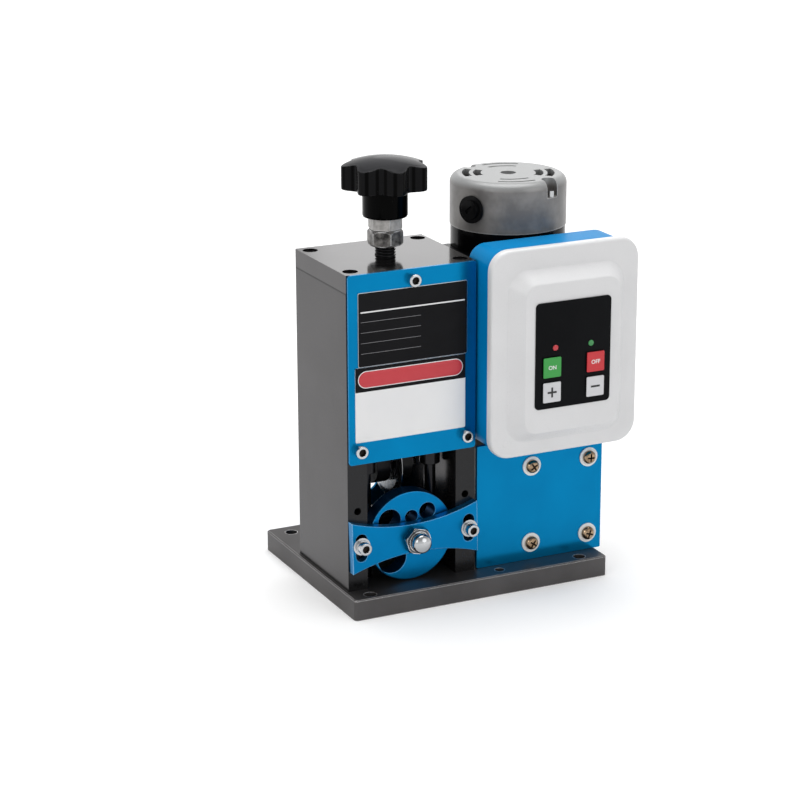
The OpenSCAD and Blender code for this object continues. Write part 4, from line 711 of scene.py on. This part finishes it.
def makeCover():
    shape = coverShape
    outer = outlineOf("control_cover")
    rear = boxOf("control_box")[0].y
    front = boxOf("control_cover")[0].y
    rim = rear - shape["rimDepth"]
    radius, wall = shape["cornerRadius"], shape["wall"]
    lip = (*inward(outer, shape["backLip"]), radius - shape["backLip"])
    raised = inward(outer, *shape["raisedInset"])
    top = inward(raised, shape["slope"])
    window = (*inward(outlineOf("control_panel"), shape["windowInset"]), shape["windowRadius"])
    innerTop = inward(top, shape["innerInset"])
    stops = [
        ((*lip, rear), shape["lip"]),
        ((*outer, radius, rear), shape["back"]),
        ((*outer, radius, rim), shape["edge"]),
        ((*raised, shape["raisedRadius"], rim), shape["foot"]),
        ((*top, shape["topRadius"], front), shape["brow"]),
        ((*window, front), 0),
        ((*window, front + wall), 0),
        ((*innerTop, shape["topRadius"] - shape["innerInset"], front + wall), shape["inner"]),
        ((*inward(raised, wall), shape["raisedRadius"] - wall, rim + wall), shape["inner"]),
        ((*lip, rim + wall), shape["lipInside"]),
    ]
    mesh = meshOf(lofted(stops, steps=6, closed=True), "controlCover")
    addPiece("controlCover", mesh, "coverWhite", ["control_cover"])


boxShape = {
    "cornerRadius": 11.5, "wall": 2.0,
    "middleInset": 30.0, "middleRadius": 4.0,  # the small field that closes each end
    "backEdge": 1.6, "frontEdge": 0.5, "innerEdge": 1.0,  # softness
}


def makeBox():
    shape = boxShape
    low, high = boxOf("control_box")
    outer = (*outlineOf("control_box"), shape["cornerRadius"])
    wall = shape["wall"]
    inner = (*inward(outer, wall), shape["cornerRadius"] - wall)
    field = (*inward(outer, shape["middleInset"]), shape["middleRadius"])
    stops = [
        ((*field, high.y - wall), 0),
        ((*inner, high.y - wall), shape["innerEdge"]),
        ((*inner, low.y), shape["frontEdge"]),
        ((*outer, low.y), shape["frontEdge"]),
        ((*outer, high.y), shape["backEdge"]),
        ((*field, high.y), 0),
    ]
    mesh = meshOf(lofted(stops, steps=5), "controlBox")
    addPiece("controlBox", mesh, "boxBlue", ["control_box"])


plugShape = {  # profile is ((radius, height), softness)
    "fromLeft": 11.6, "fromBottom": 10.4, "crease": 60, "steps": 40,
    "profile": [((2.85, -0.2), 0), ((2.6, 0.02), 0.1), ((2.2, 0.25), 0.2), ((1.375, 0.15), 0.3),
                ((0, 0.125), 0)],
}


def makeCoverPlug():  # the small moulding mark near the cover's lower left corner
    corner = boxOf("control_cover")[0]
    rim = boxOf("control_box")[0].y - coverShape["rimDepth"]
    at = (corner.x + plugShape["fromLeft"], rim, corner.z + plugShape["fromBottom"])
    plug = turned(plugShape["profile"], plugShape["steps"])
    mesh = meshOf(plug, "coverPlug", axisFacing(forward, at), plugShape["crease"])
    addPiece("coverPlug", mesh, "coverWhite")


makeCover()
makeBox()
makeCoverPlug()
print("control cover and box made")


# push buttons, their signs and the lamps

buttonShape = {
    "corner": 0.8, "edge": 0.45, "stem": 5.0, "stemRadius": 0.6,
    "capShare": 0.44,  # of the way from the front to the panel
    "capEdge": 0.1, "dish": 0.12, "dishInset": 1.6, "dishRim": 0.3, "dishSlope": 0.6, "dishField": 3.0,
}
buttons = {  # finish, sign, its finish, height and how much bolder it is
    "on_button": ("buttonGreen", "ON", "signWhite", 3.8, 0.018),
    "off_button": ("buttonRed", "OFF", "signWhite", 3.8, 0.018),
    "plus_button": ("buttonGrey", "+", "signDark", 14.0, 0.006),
    "minus_button": ("buttonGrey", "−", "signDark", 14.0, 0.006),
}
signShape = {"thickness": 0.05, "curveSteps": 6, "sunk": 0.6}  # sunk is a share of the button's dish


def makeButton(nodeName, finish):
    shape = buttonShape
    low, high = boxOf(nodeName)
    outline = outlineOf(nodeName)
    capBack = low.y + (boxOf("control_panel")[0].y - low.y) * shape["capShare"]
    beside, above = (high.x - low.x - shape["stem"]) / 2, (high.z - low.z - shape["stem"]) / 2
    stem = (*inward(outline, beside, beside, above, above), shape["stemRadius"])
    dish = inward(outline, shape["dishInset"])
    stops = [
        ((*stem, high.y), 0),
        ((*stem, capBack), 0),
        ((*outline, shape["corner"], capBack), shape["capEdge"]),
        ((*outline, shape["corner"], low.y), shape["edge"]),
        ((*dish, shape["corner"], low.y + shape["dish"] * shape["dishRim"]), shape["dishSlope"]),
        ((*inward(dish, shape["dishField"]), shape["corner"], low.y + shape["dish"]), 0),
    ]
    name = pieceName(nodeName)
    addPiece(name, meshOf(lofted(stops, cornerSteps=6), name), finish, [nodeName])


def makeSign(nodeName, sign, finish, size, bolder):  # a sign printed a little proud of the button
    low, high = boxOf(nodeName)
    text = bpy.data.curves.new("sign", "FONT")
    text.body = sign
    text.size = size
    text.align_x = "CENTER"
    text.align_y = "CENTER"
    text.offset = size * bolder
    text.extrude = signShape["thickness"]
    text.resolution_u = signShape["curveSteps"]
    mesh = solved(linked("sign", text))
    xs, ys = [[vert.co[i] for vert in mesh.vertices] for i in (0, 1)]
    centred = Matrix.Translation((-(min(xs) + max(xs)) / 2, -(min(ys) + max(ys)) / 2, 0))
    at = middle(low, high, y=low.y + buttonShape["dish"] * signShape["sunk"])
    upright = Matrix.Rotation(math.radians(90), 4, "X")
    mesh.transform(Matrix.Scale(mm, 4) @ Matrix.Translation(at) @ upright @ centred)
    addPiece(pieceName(nodeName) + "Sign", mesh, finish, body=nodes[nodeName]["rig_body"])


for nodeName, (finish, *sign) in buttons.items():
    makeButton(nodeName, finish)
    makeSign(nodeName, *sign)


lampShape = {
    "shoulder": 0.86, "shoulderDrop": 0.35, "crown": 0.45,  # shares of the radius and of the dome
    "rimEdge": 0.1, "shoulderEdge": 0.3, "crownEdge": 0.4, "crease": 50, "steps": 32,
}


def makeLamps():
    shape = lampShape
    panelFront = boxOf("control_panel")[0].y
    for (low, high), finish in zip(solidBoxes("indicator_lamps"), ("lampRed", "lampGreen")):
        radius, length, dome = (high.x - low.x) / 2, high.y - low.y, panelFront - low.y
        stops = [
            ((radius, 0), 0),
            ((radius, length - dome), shape["rimEdge"]),
            ((radius * shape["shoulder"], length - dome * shape["shoulderDrop"]), shape["shoulderEdge"]),
            ((radius * shape["crown"], length), shape["crownEdge"]),
            ((0, length), 0),
        ]
        placing = axisFacing(forward, middle(low, high, y=high.y))
        mesh = meshOf(turned(stops, shape["steps"]), finish, placing, shape["crease"])
        addPiece(finish + "Lens", mesh, finish, ["indicator_lamps"])


makeLamps()
print("buttons, signs and lamps made")


# rating plate and sticker, both without words

slabShape = {"edge": 0.08, "leastInset": 0.2, "barFrom": 3.0}
plateShape = {
    "corner": 1.0,
    "border": 0.3,  # bare metal left round the black face
    "faceLift": 0.04, "faceDepth": 0.2,
    "ruleDown": 12.6,  # the white rule, below the plate's top
    "ruleHeight": 0.9, "ruleInset": 1.6, "ruleRadius": 0.2, "ruleLift": 0.07,
    "fieldsDown": (19.4, 26.4, 33.4, 40.4),  # blank writing lines
    "fieldLength": 43.0, "fieldHeight": 0.32, "fieldRadius": 0.1, "fieldLift": 0.06,
}
stickerShape = {
    "corner": 1.0, "bandHeight": 16.4, "bandCorner": 0.6, "bandInset": 0.02, "bandDepth": 0.2,
    "barInset": 1.9, "barHeight": 11.6, "barRim": 0.5,
    "barStraight": 0.01,  # what is left of each end between its two quarter circles
    "lift": 0.06,  # of each layer over the last
}


def flatSlab(name, rect, radius, front, back, finish, standsFor=(), edge=slabShape["edge"]):
    inset, inner = max(slabShape["leastInset"], radius), radius / 2
    if radius > slabShape["barFrom"]:  # a bar with round ends closes on its own middle line
        inset = inner
    stops = [((*rect, radius, back), 0), ((*rect, radius, front), edge),
             ((*inward(rect, inset), inner, front), 0)]
    mesh = meshOf(lofted(stops, steps=2, cornerSteps=8), name)
    addPiece(name, mesh, finish, standsFor)


def makeRatingPlate():
    shape = plateShape
    low, high = boxOf("rating_plate")
    outline = outlineOf("rating_plate")
    flatSlab("ratingPlate", outline, shape["corner"], low.y, high.y, "plateSilver", ["rating_plate"])
    face = inward(outline, shape["border"])
    flatSlab("ratingFace", face, shape["corner"], low.y - shape["faceLift"], low.y + shape["faceDepth"],
             "ratingBlack")
    ruleLow = high.z - shape["ruleDown"] - shape["ruleHeight"]
    left, right = face[0] + shape["ruleInset"], face[1] - shape["ruleInset"]
    rule = [left, right, ruleLow, ruleLow + shape["ruleHeight"]]
    flatSlab("ratingRule", rule, shape["ruleRadius"], low.y - shape["ruleLift"], low.y, "printWhite",
             edge=0)
    for i, down in enumerate(shape["fieldsDown"]):
        top = high.z - down
        field = [left, left + shape["fieldLength"], top - shape["fieldHeight"], top]
        flatSlab(f"ratingField{i + 1}", field, shape["fieldRadius"], low.y - shape["fieldLift"], low.y,
                 "printGrey", edge=0)


def makeSticker():
    shape = stickerShape
    low, high = boxOf("plain_sticker")
    sheet = outlineOf("plain_sticker")
    flatSlab("stickerSheet", sheet, shape["corner"], low.y, high.y, "printWhite", ["plain_sticker"])
    inset = shape["bandInset"]
    band = [low.x + inset, high.x - inset, high.z - shape["bandHeight"], high.z - inset]
    flatSlab("stickerBand", band, shape["bandCorner"], low.y - shape["lift"], low.y + shape["bandDepth"],
             "ratingBlack")
    centre, half = (band[2] + band[3]) / 2, shape["barHeight"] / 2
    bar = [low.x + shape["barInset"], high.x - shape["barInset"], centre - half, centre + half]
    roundness = half - shape["barStraight"]
    flatSlab("stickerBarRim", bar, roundness, low.y - 2 * shape["lift"], low.y, "printWhite")
    flatSlab("stickerBar", inward(bar, shape["barRim"]), roundness - shape["barRim"],
             low.y - 3 * shape["lift"], low.y, "printRed")


makeRatingPlate()
makeSticker()
print("rating plate and sticker made")


# fasteners on points

fastenerShapes = {  # across is 1 and the head's height is 1, so the tree's sizes are the real ones
    "socketHead": {
        "profile": [((0.5, 0), 0), ((0.5, 1), 0.14), ((0.31, 1), 0.03), ((0.29, 0.93), 0)],
        "socket": [(0.50, 0.90), (0.485, 0.45), (0.15, 0.35)],  # across flats, height
        "recessRadius": 0.285,
    },
    "panHead": {
        "profile": [((0.5, 0), 0), ((0.5, 0.42), 0.12), ((0.40, 0.82), 0.2), ((0.30, 0.97), 0)],
        "cross": [(0.30, 0.065, 1.0), (0.21, 0.052, 0.45)],  # arm, half its width, height
        "recessRadius": 0.294,
    },
    "washer": {
        "profile": [((0.21, 0), 0), ((0.5, 0), 0), ((0.5, 1), 0.03), ((0.21, 1), 0.02)],
        "closed": True,
    },
}
recessTop = 0.96  # faces of the recess lie below this share of the head


def crossRing(arm, width, height):  # outline of a cross recess
    def radiusAt(turn):
        side = math.radians(abs((turn + 45) % 90 - 45))
        return arm / math.cos(side) if math.tan(side) <= width / arm else width / math.sin(side)
    return shapedRing(radiusAt, height, roundSteps)


def patternObject(name):
    shape = fastenerShapes[name]
    closed = shape.get("closed", False)
    rings = [turnedRing(*point, roundSteps) for point in softPath(shape["profile"], closed=closed)]
    rings += [nutRing(flats, flats, height) for flats, height in shape.get("socket", [])]
    rings += [crossRing(*ring) for ring in shape.get("cross", [])]
    mesh = settled(skin(rings, closed), name)
    inside = [face.center.xy.length < shape.get("recessRadius", 0) and face.center.z < recessTop
              for face in mesh.polygons]
    mesh.attributes.new("recess", "BOOLEAN", "FACE").data.foreach_set("value", inside)
    return linked(name, shade(mesh))


patterns = {name: patternObject(name) for name in fastenerShapes}
fastenerSets = {  # pattern, finish, turn seed, turn spread in degrees, and the head's height if known
    "cover_screws": ("socketHead", "brightSteel", 4, 60, 5.0),
    "clamp_screws": ("socketHead", "brightSteel", 7, 60, 5.0),
    "plate_screws": ("panHead", "passivated", 11, 90, 3.4),
    "plate_washers": ("washer", "washerWhite", 1, 0, None),
}


def makeFasteners(nodeName, patternName, finish, seed, spread, headHeight):
    boxes = solidBoxes(nodeName)
    halfway = (boxOf("front_cover")[0].y + boxOf("back_cover")[1].y) / 2
    points, aims = [], []
    for low, high in boxes:
        forwards = (low.y + high.y) / 2 < halfway
        height = headHeight or high.y - low.y
        points.append(middle(low, high, y=low.y + height if forwards else high.y - height) * mm)
        aims += [0.0, -1.0 if forwards else 1.0, 0.0]
    mesh = bpy.data.meshes.new(nodeName + "Points")
    mesh.from_pydata(points, [], [])
    mesh.attributes.new("aim", "FLOAT_VECTOR", "POINT").data.foreach_set("vector", aims)
    low, high = boxes[0]
    values = {
        "Fastener": patterns[patternName], "Width": (high.x - low.x) * mm,
        "Height": (headHeight or high.y - low.y) * mm, "Turn Seed": seed,
        "Turn Spread": math.radians(spread), "Finish": finishOf[finish],
        "Recess Shade Finish": finishOf["paintedRecessShade"],
    }
    addPiece(pieceName(nodeName), grown(mesh, fastenerTree, values), None, [nodeName])


washerStack = {
    "lift": 0.04, "hole": 2.7, "plain": 1.0, "plainSoftness": (0, 0.15, 0.3, 0.15),
    "springRadius": 4.6, "springGap": 0.12, "springSoftness": (0.1, 0.2, 0.2, 0.1),
}


def washerStops(outer, foot, top, softness):
    hole = washerStack["hole"]
    return list(zip(((hole, foot), (outer, foot), (outer, top), (hole, top)), softness))


def makeClampWashers():  # a plain washer with a spring washer before it, under each clamping screw
    shape = washerStack
    shells = bmesh.new()
    for low, high in solidBoxes("clamp_washers"):
        placing = axisFacing(forward, middle(low, high, y=high.y))
        springFoot = shape["plain"] + shape["springGap"]
        for stops in (
                washerStops((high.x - low.x) / 2, shape["lift"], shape["plain"], shape["plainSoftness"]),
                washerStops(shape["springRadius"], springFoot, high.y - low.y, shape["springSoftness"])):
            ring = settled(turned(stops, closed=True), "ring")
            ring.transform(placing)
            shells.from_mesh(ring)
            bpy.data.meshes.remove(ring)
    addPiece("clampWashers", meshOf(shells, "clampWashers"), "brightSteel", ["clamp_washers"])


for nodeName, fastenerSet in fastenerSets.items():
    makeFasteners(nodeName, *fastenerSet)
makeClampWashers()
for pattern in patterns.values():
    bpy.data.objects.remove(pattern)
print("fasteners set:", ", ".join(fastenerSets))


# nuts, spindle and star knob

nutShapes = {  # across flats, chamfer's height at the foot and the head, gap above, turn in degrees
    "lock_nut": {"flats": 21.0, "foot": 1.5, "head": 1.5, "gap": 0.5, "turn": 23.0, "finish": "lockSteel"},
    "hex_collar": {"flats": 20.0, "foot": 0.5, "head": 0.4, "gap": 0.0, "turn": 20.0, "finish": "nutSteel"},
}
nutCone = {
    "bore": 7.1, "crease": 25, "steps": 6,
    "slope": 0.6 * math.sqrt(3),  # how much the chamfer cone narrows for each millimetre of height
}


def nutRings(flats, low, high, foot, head):
    corner = flats / math.sqrt(3)
    shares = [k / nutCone["steps"] for k in range(nutCone["steps"] + 1)]
    rings = [nutRing(flats, corner - foot * (1 - share) * nutCone["slope"], low + foot * share)
             for share in shares]
    return rings + [nutRing(flats, corner - head * share * nutCone["slope"], high - head * (1 - share))
                    for share in shares]


def makeNut(nodeName, shape):
    low, high = boxOf(nodeName)
    top = high.z - shape["gap"]
    rings = nutRings(shape["flats"], low.z, top, shape["foot"], shape["head"])
    foot, head = [turnedRing(nutCone["bore"], z, roundSteps) for z in (low.z, top)]
    turning = (Matrix.Translation(middle(low, high, z=0))
               @ Matrix.Rotation(math.radians(shape["turn"]), 4, "Z"))
    nut = skin([foot, *rings, head], closed=True)
    mesh = meshOf(nut, pieceName(nodeName), turning, nutCone["crease"])
    addPiece(pieceName(nodeName), mesh, shape["finish"], [nodeName])


domeNutShape = {
    "flats": 17.0, "faceRadius": 8.3, "faceEdge": 0.2, "face": 0.6, "foot": 0.4, "hexEnd": 5.2,
    "chamfer": 1.0, "neck": 6.7, "rise": 4.4, "domeSteps": 10, "turn": 47.0,
    "smoothFrom": 5.3,  # height from which the finish is the smooth one
}


def makeDomeNut():
    shape = domeNutShape
    low, high = boxOf("dome_nut")
    shoulder = high.y - low.y - shape["rise"]
    circles = [(shape["faceRadius"] - shape["faceEdge"], 0), (shape["faceRadius"], shape["faceEdge"]),
               (shape["faceRadius"], shape["face"])]
    rings = [turnedRing(*circle, roundSteps) for circle in circles]
    rings += nutRings(shape["flats"], shape["face"], shape["hexEnd"], shape["foot"], shape["chamfer"])
    rings.append(turnedRing(shape["neck"], shape["hexEnd"], roundSteps))
    for k in range(shape["domeSteps"] + 1):
        angle = math.radians(90 * k / shape["domeSteps"])
        rings.append(turnedRing(shape["neck"] * math.cos(angle), shoulder + shape["rise"] * math.sin(angle),
                                roundSteps))
    placing = (axisFacing(forward, middle(low, high, y=high.y))
               @ Matrix.Rotation(math.radians(shape["turn"]), 4, "Z"))
    mesh = meshOf(skin(rings), "domeNut", placing, nutCone["crease"])
    for finish in ("hexSteelPaintedDark", "brightSteel"):
        mesh.materials.append(finishOf[finish])
    for face in mesh.polygons:
        face.material_index = int(face.center.y < (high.y - shape["smoothFrom"]) * mm)
    addPiece("domeNut", mesh, None, ["dome_nut"])


spindleShape = {"core": 6.1, "depth": 0.9, "pitch": 2.0, "foot": 11.0, "footHeight": 5.7, "footEdge": 0.5}


def makeSpindle():
    shape = spindleShape
    low, high = boxOf("spindle")
    at = middle(low, high, z=low.z + shape["footHeight"])
    start = bpy.data.meshes.new("spindleStart")
    start.from_pydata([(0, 0, 0)], [], [])
    wound = grown(start, threadTree, {
        "Core Radius": shape["core"] * mm, "Thread Depth": shape["depth"] * mm,
        "Pitch": shape["pitch"] * mm, "Length": (high.z - at.z) * mm, "Finish": finishOf["threadBlack"]})
    wound.transform(Matrix.Translation(at * mm))
    foot = [((0, 0), 0), ((shape["foot"], 0), shape["footEdge"]),
            ((shape["foot"], shape["footHeight"]), shape["footEdge"]), ((0, shape["footHeight"]), 0)]
    footMesh = meshOf(turned(foot), "spindleFoot", Matrix.Translation((at.x, at.y, low.z)))
    addPiece("spindleThread", wound, None, ["spindle"])
    addPiece("spindleFoot", footMesh, "groundSteel", ["spindle"])


knobShape = {
    "lobes": 7, "stepsPerLobe": 24, "valley": 6.4, "sharpness": 1.0, "turn": -121.0 + 180.0 / 7,
    "radius": 28.75, "domeDrop": 5.6, "neck": 15.0, "neckHeight": 18.5,
    "neckFoot": ((-1.4, 0), (-0.4, 0.35), (0, 1.4)),  # past the neck's radius, above its foot
    "neckHead": ((0, -1.2), (0.3, -0.4), (1.2, 0)),  # past the neck's radius, above its head
    "giveFrom": 15.5, "giveTo": 26.5,  # radii between which the valleys begin
    "underRings": (18, 20, 22, 24, 26), "domeRings": (25.5, 24, 22, 20, 18, 16, 14, 11, 8, 5, 2),
    "lowEdge": 1.0, "edge": 0.7, "edgeLift": 0.12, "wallSteps": 4, "wallShort": 2.2,
}
# the knob's paler top is a painted highlight, its light rim line a painted highlight, and its dark bands
# and neck painted dark reflections
knobGloss = {
    "tones": ("#161617", "#1a1a1b"), "specular": 0.03, "rough": (0.10, 0.16), "edge": "#b4b4b6",
    "edgeWearAndHighlight": 1.0, "edgeWidth": 0.9, "paintedReflectionTone": "#030303", "crown": "#3c3c3e",
}
knobReflectionBands = {"bands": 28, "neck": 15.6}  # painted dark reflection bands round the knob, and radius of its neck, also painted dark


def knobBlank():  # (radius, height, lobe share, dome share) of each turned ring, from the foot up
    shape = knobShape
    low, high = boxOf("star_knob")
    top = high.z - low.z
    radius, neck, under = shape["radius"], shape["neck"], shape["neckHeight"]

    def give(r):
        t = min(1.0, max(0.0, (r - shape["giveFrom"]) / (shape["giveTo"] - shape["giveFrom"])))
        return t * t * (3 - 2 * t)

    def dome(r):
        return top - shape["domeDrop"] * (r / radius) ** 2

    rim = dome(radius)
    rows = [(0, 0, 0, 0)]
    rows += [(neck + out, up, 0, 0) for out, up in shape["neckFoot"]]
    rows += [(neck + out, under + up, 0, 0) for out, up in shape["neckHead"]]
    rows += [(r, under, give(r), 0) for r in shape["underRings"]]
    edge = shape["lowEdge"]
    for angle in map(math.radians, (0, 30, 60, 90)):
        rows.append((radius - edge + edge * math.sin(angle), under + edge - edge * math.cos(angle), 1, 0))
    for k in range(1, shape["wallSteps"] + 1):
        share = k / shape["wallSteps"]
        rows.append((radius, under + edge + (rim - under - shape["wallShort"]) * share, 1, share))
    edge = shape["edge"]
    for angle in map(math.radians, (30, 60, 90)):
        height = rim - edge + edge * math.sin(angle) + shape["edgeLift"]
        rows.append((radius - edge + edge * math.cos(angle), height, 1, 1))
    rows += [(r, dome(r), give(r), 1) for r in shape["domeRings"]]
    rows.append((0, top, 0, 1))
    return rows


def makeKnob():
    shape = knobShape
    at = middle(*boxOf("lock_nut"), z=boxOf("star_knob")[0].z)
    reflectionBands = {**knobReflectionBands, "X": at.x, "Y": at.y, "turn": shape["turn"]}
    rows = knobBlank()
    count = shape["lobes"] * shape["stepsPerLobe"]
    rings = [turnedRing(*row[:2], count) for row in rows]
    blank = settled(skin(rings), "knobBlank")
    blank.transform(Matrix.Scale(mm, 4))
    for label, column in (("lobeShare", 2), ("domeShare", 3)):
        shares = []
        for row, ring in zip(rows, rings):
            shares += [row[column]] * len(ring)
        blank.attributes.new(label, "FLOAT", "POINT").data.foreach_set("value", shares)
    knob = grown(blank, lobeTree, {
        "Lobes": shape["lobes"], "Valley Depth": shape["valley"] * mm,
        "Valley Sharpness": shape["sharpness"], "Turn": math.radians(shape["turn"]),
        "Outer Radius": shape["radius"] * mm, "Dome Drop": shape["domeDrop"] * mm,
        "Finish": makeFinish("knobFluted", {**finishLooks["knobBlack"], **knobGloss, "reflectionBands": reflectionBands})})
    knob.transform(Matrix.Translation(at * mm))
    addPiece("starKnob", knob, None, ["star_knob"])


for nodeName, shape in nutShapes.items():
    makeNut(nodeName, shape)
makeDomeNut()
makeSpindle()
makeKnob()
print("nuts, spindle and star knob made")


# finishes of the nodes that stay as they are

plainNodes = {
    "base_screws": "blackSteel", "top_block_screws": "blackSteel", "keeper_screws": "blackSteel",
    "guide_rods": "paintedShadeRod", "blade_axle": "brightSteel", "axle_nut": "brightSteel",
    "cutting_blade": "groundSteel", "drive_shaft": "groundSteel", "feed_roller": "paintedShadeRod",
    "worm_wheel": "gearBronze", "shaft_bearings": "brightSteel", "worm_shaft": "groundSteel",
    "rotor_bearings": "brightSteel", "armature": "windingCopper", "commutator": "windingCopper",
    "field_magnets": "blackSteel", "carbon_brushes": "brushCarbon", "end_cap_screws": "brightSteel",
    "spacer_washer": "brightSteel", "circuit_board": "boardGreen",
}
for nodeName, finish in plainNodes.items():
    for materialSlot in nodes[nodeName].material_slots:
        materialSlot.material = finishOf[finish]
print("plain nodes finished:", len(plainNodes))


# camera, light and floor

cameraShape = {  # metres, degrees and the lens in millimetres
    "at": (-0.7263, -1.4554, 0.6275), "turn": 25.695, "tilt": 17.380, "roll": -0.19,
    "lens": 112.2, "near": 0.05, "far": 60.0,
}


def makeCamera():
    shape = cameraShape
    data = bpy.data.cameras.new("camera")
    data.lens = shape["lens"]
    data.clip_start = shape["near"]
    data.clip_end = shape["far"]
    camera = linked("camera", data)
    camera.matrix_world = (
        Matrix.Translation(shape["at"])
        @ Matrix.Rotation(math.radians(-shape["turn"]), 4, "Z")
        @ Matrix.Rotation(math.radians(90 - shape["tilt"]), 4, "X")
        @ Matrix.Rotation(math.radians(shape["roll"]), 4, "Z"))
    bpy.context.scene.camera = camera


studioLamps = {  # place, what it looks at, width, power in watts
    "lampAbove": ((0.1, 0.25, 1.7), (0.0, 0.0, 0.1), 1.5, 20.0),
    "lampFront": ((0.9, -2.1, 1.1), (0.0, 0.0, 0.15), 1.7, 8.5),
    "lampLeft": ((-2.0, -1.0, 1.2), (0.0, 0.0, 0.15), 1.2, 6.6),
    "lampBehind": ((1.5, 2.2, 1.0), (0.0, 0.0, 0.15), 1.2, 2.6),
}
skyLevels = {"onSurfaces": 0.49, "horizon": 1.0, "overhead": 0.35, "fadeFrom": 0.2, "fadeTo": 0.75}
floorShape = {
    "reach": 30.0, "white": 0.86, "rough": 0.9,
    # glow that only the camera, mirrors and glass see, by distance in metres
    "liftNear": 0.24, "liftFar": 0.75, "nearEnd": 0.35, "farStart": 2.6,
}


def seenRays(tree):  # 1 for what the camera, a mirror or glass shows of the backdrop
    path = place(tree, "ShaderNodeLightPath").outputs
    through = calculate(tree, "MAXIMUM", path["Is Glossy Ray"], path["Is Transmission Ray"])
    return path["Is Camera Ray"], through


def makeStudioLamps():
    for name, (at, target, width, power) in studioLamps.items():
        data = bpy.data.lights.new(name, "AREA")
        data.shape = "DISK"
        data.size = width
        data.energy = power
        lamp = linked(name, data)
        lamp.matrix_world = axisFacing(Vector(at) - Vector(target), at)
        lamp.visible_camera = False


def makeSky():
    world = bpy.data.worlds.new("studio")
    world.use_nodes = True
    tree = world.node_tree
    sky = tree.nodes["Background"]
    sky.inputs["Color"].default_value = (1.0, 1.0, 1.0, 1.0)
    level = skyLevels
    height = split(tree, place(tree, "ShaderNodeTexCoord").outputs["Generated"])["Z"]
    backdrop = remap(tree, height, level["fadeFrom"], level["fadeTo"], level["horizon"], level["overhead"])
    camera, mirrored = seenRays(tree)
    plain = calculate(tree, "MAXIMUM", level["onSurfaces"], calculate(tree, "MULTIPLY", backdrop, mirrored))
    tree.links.new(calculate(tree, "MAXIMUM", plain, camera), sky.inputs["Strength"])
    bpy.context.scene.world = world


def makeFloor():
    shape = floorShape
    mesh = bpy.data.meshes.new("floor")
    corners = [(x * shape["reach"], y * shape["reach"], 0) for x, y in ((-1, -1), (1, -1), (1, 1), (-1, 1))]
    mesh.from_pydata(corners, [], [(0, 1, 2, 3)])
    floor = linked("floor", mesh)
    material = bpy.data.materials.new("floorWhite")
    material.use_nodes = True
    tree = material.node_tree
    shader = tree.nodes["Principled BSDF"]
    shader.inputs["Base Color"].default_value = (*[shape["white"]] * 3, 1.0)
    shader.inputs["Roughness"].default_value = shape["rough"]
    shader.inputs["Specular IOR Level"].default_value = 0.0
    away = place(tree, "ShaderNodeVectorMath", {
        0: place(tree, "ShaderNodeTexCoord").outputs["Object"]}, operation="LENGTH").outputs["Value"]
    lift = remap(tree, away, shape["nearEnd"], shape["farStart"], shape["liftNear"], shape["liftFar"])
    seen = calculate(tree, "MAXIMUM", *seenRays(tree))
    glow = place(tree, "ShaderNodeEmission", {
        "Color": (1, 1, 1, 1), "Strength": calculate(tree, "MULTIPLY", seen, lift)})
    both = place(tree, "ShaderNodeAddShader", {0: shader.outputs[0], 1: glow.outputs[0]})
    tree.links.new(both.outputs[0], tree.nodes["Material Output"].inputs["Surface"])
    mesh.materials.append(material)


makeCamera()
makeStudioLamps()
makeSky()
makeFloor()
bpy.context.scene.view_settings.view_transform = "Standard"
print("camera, light and floor set")
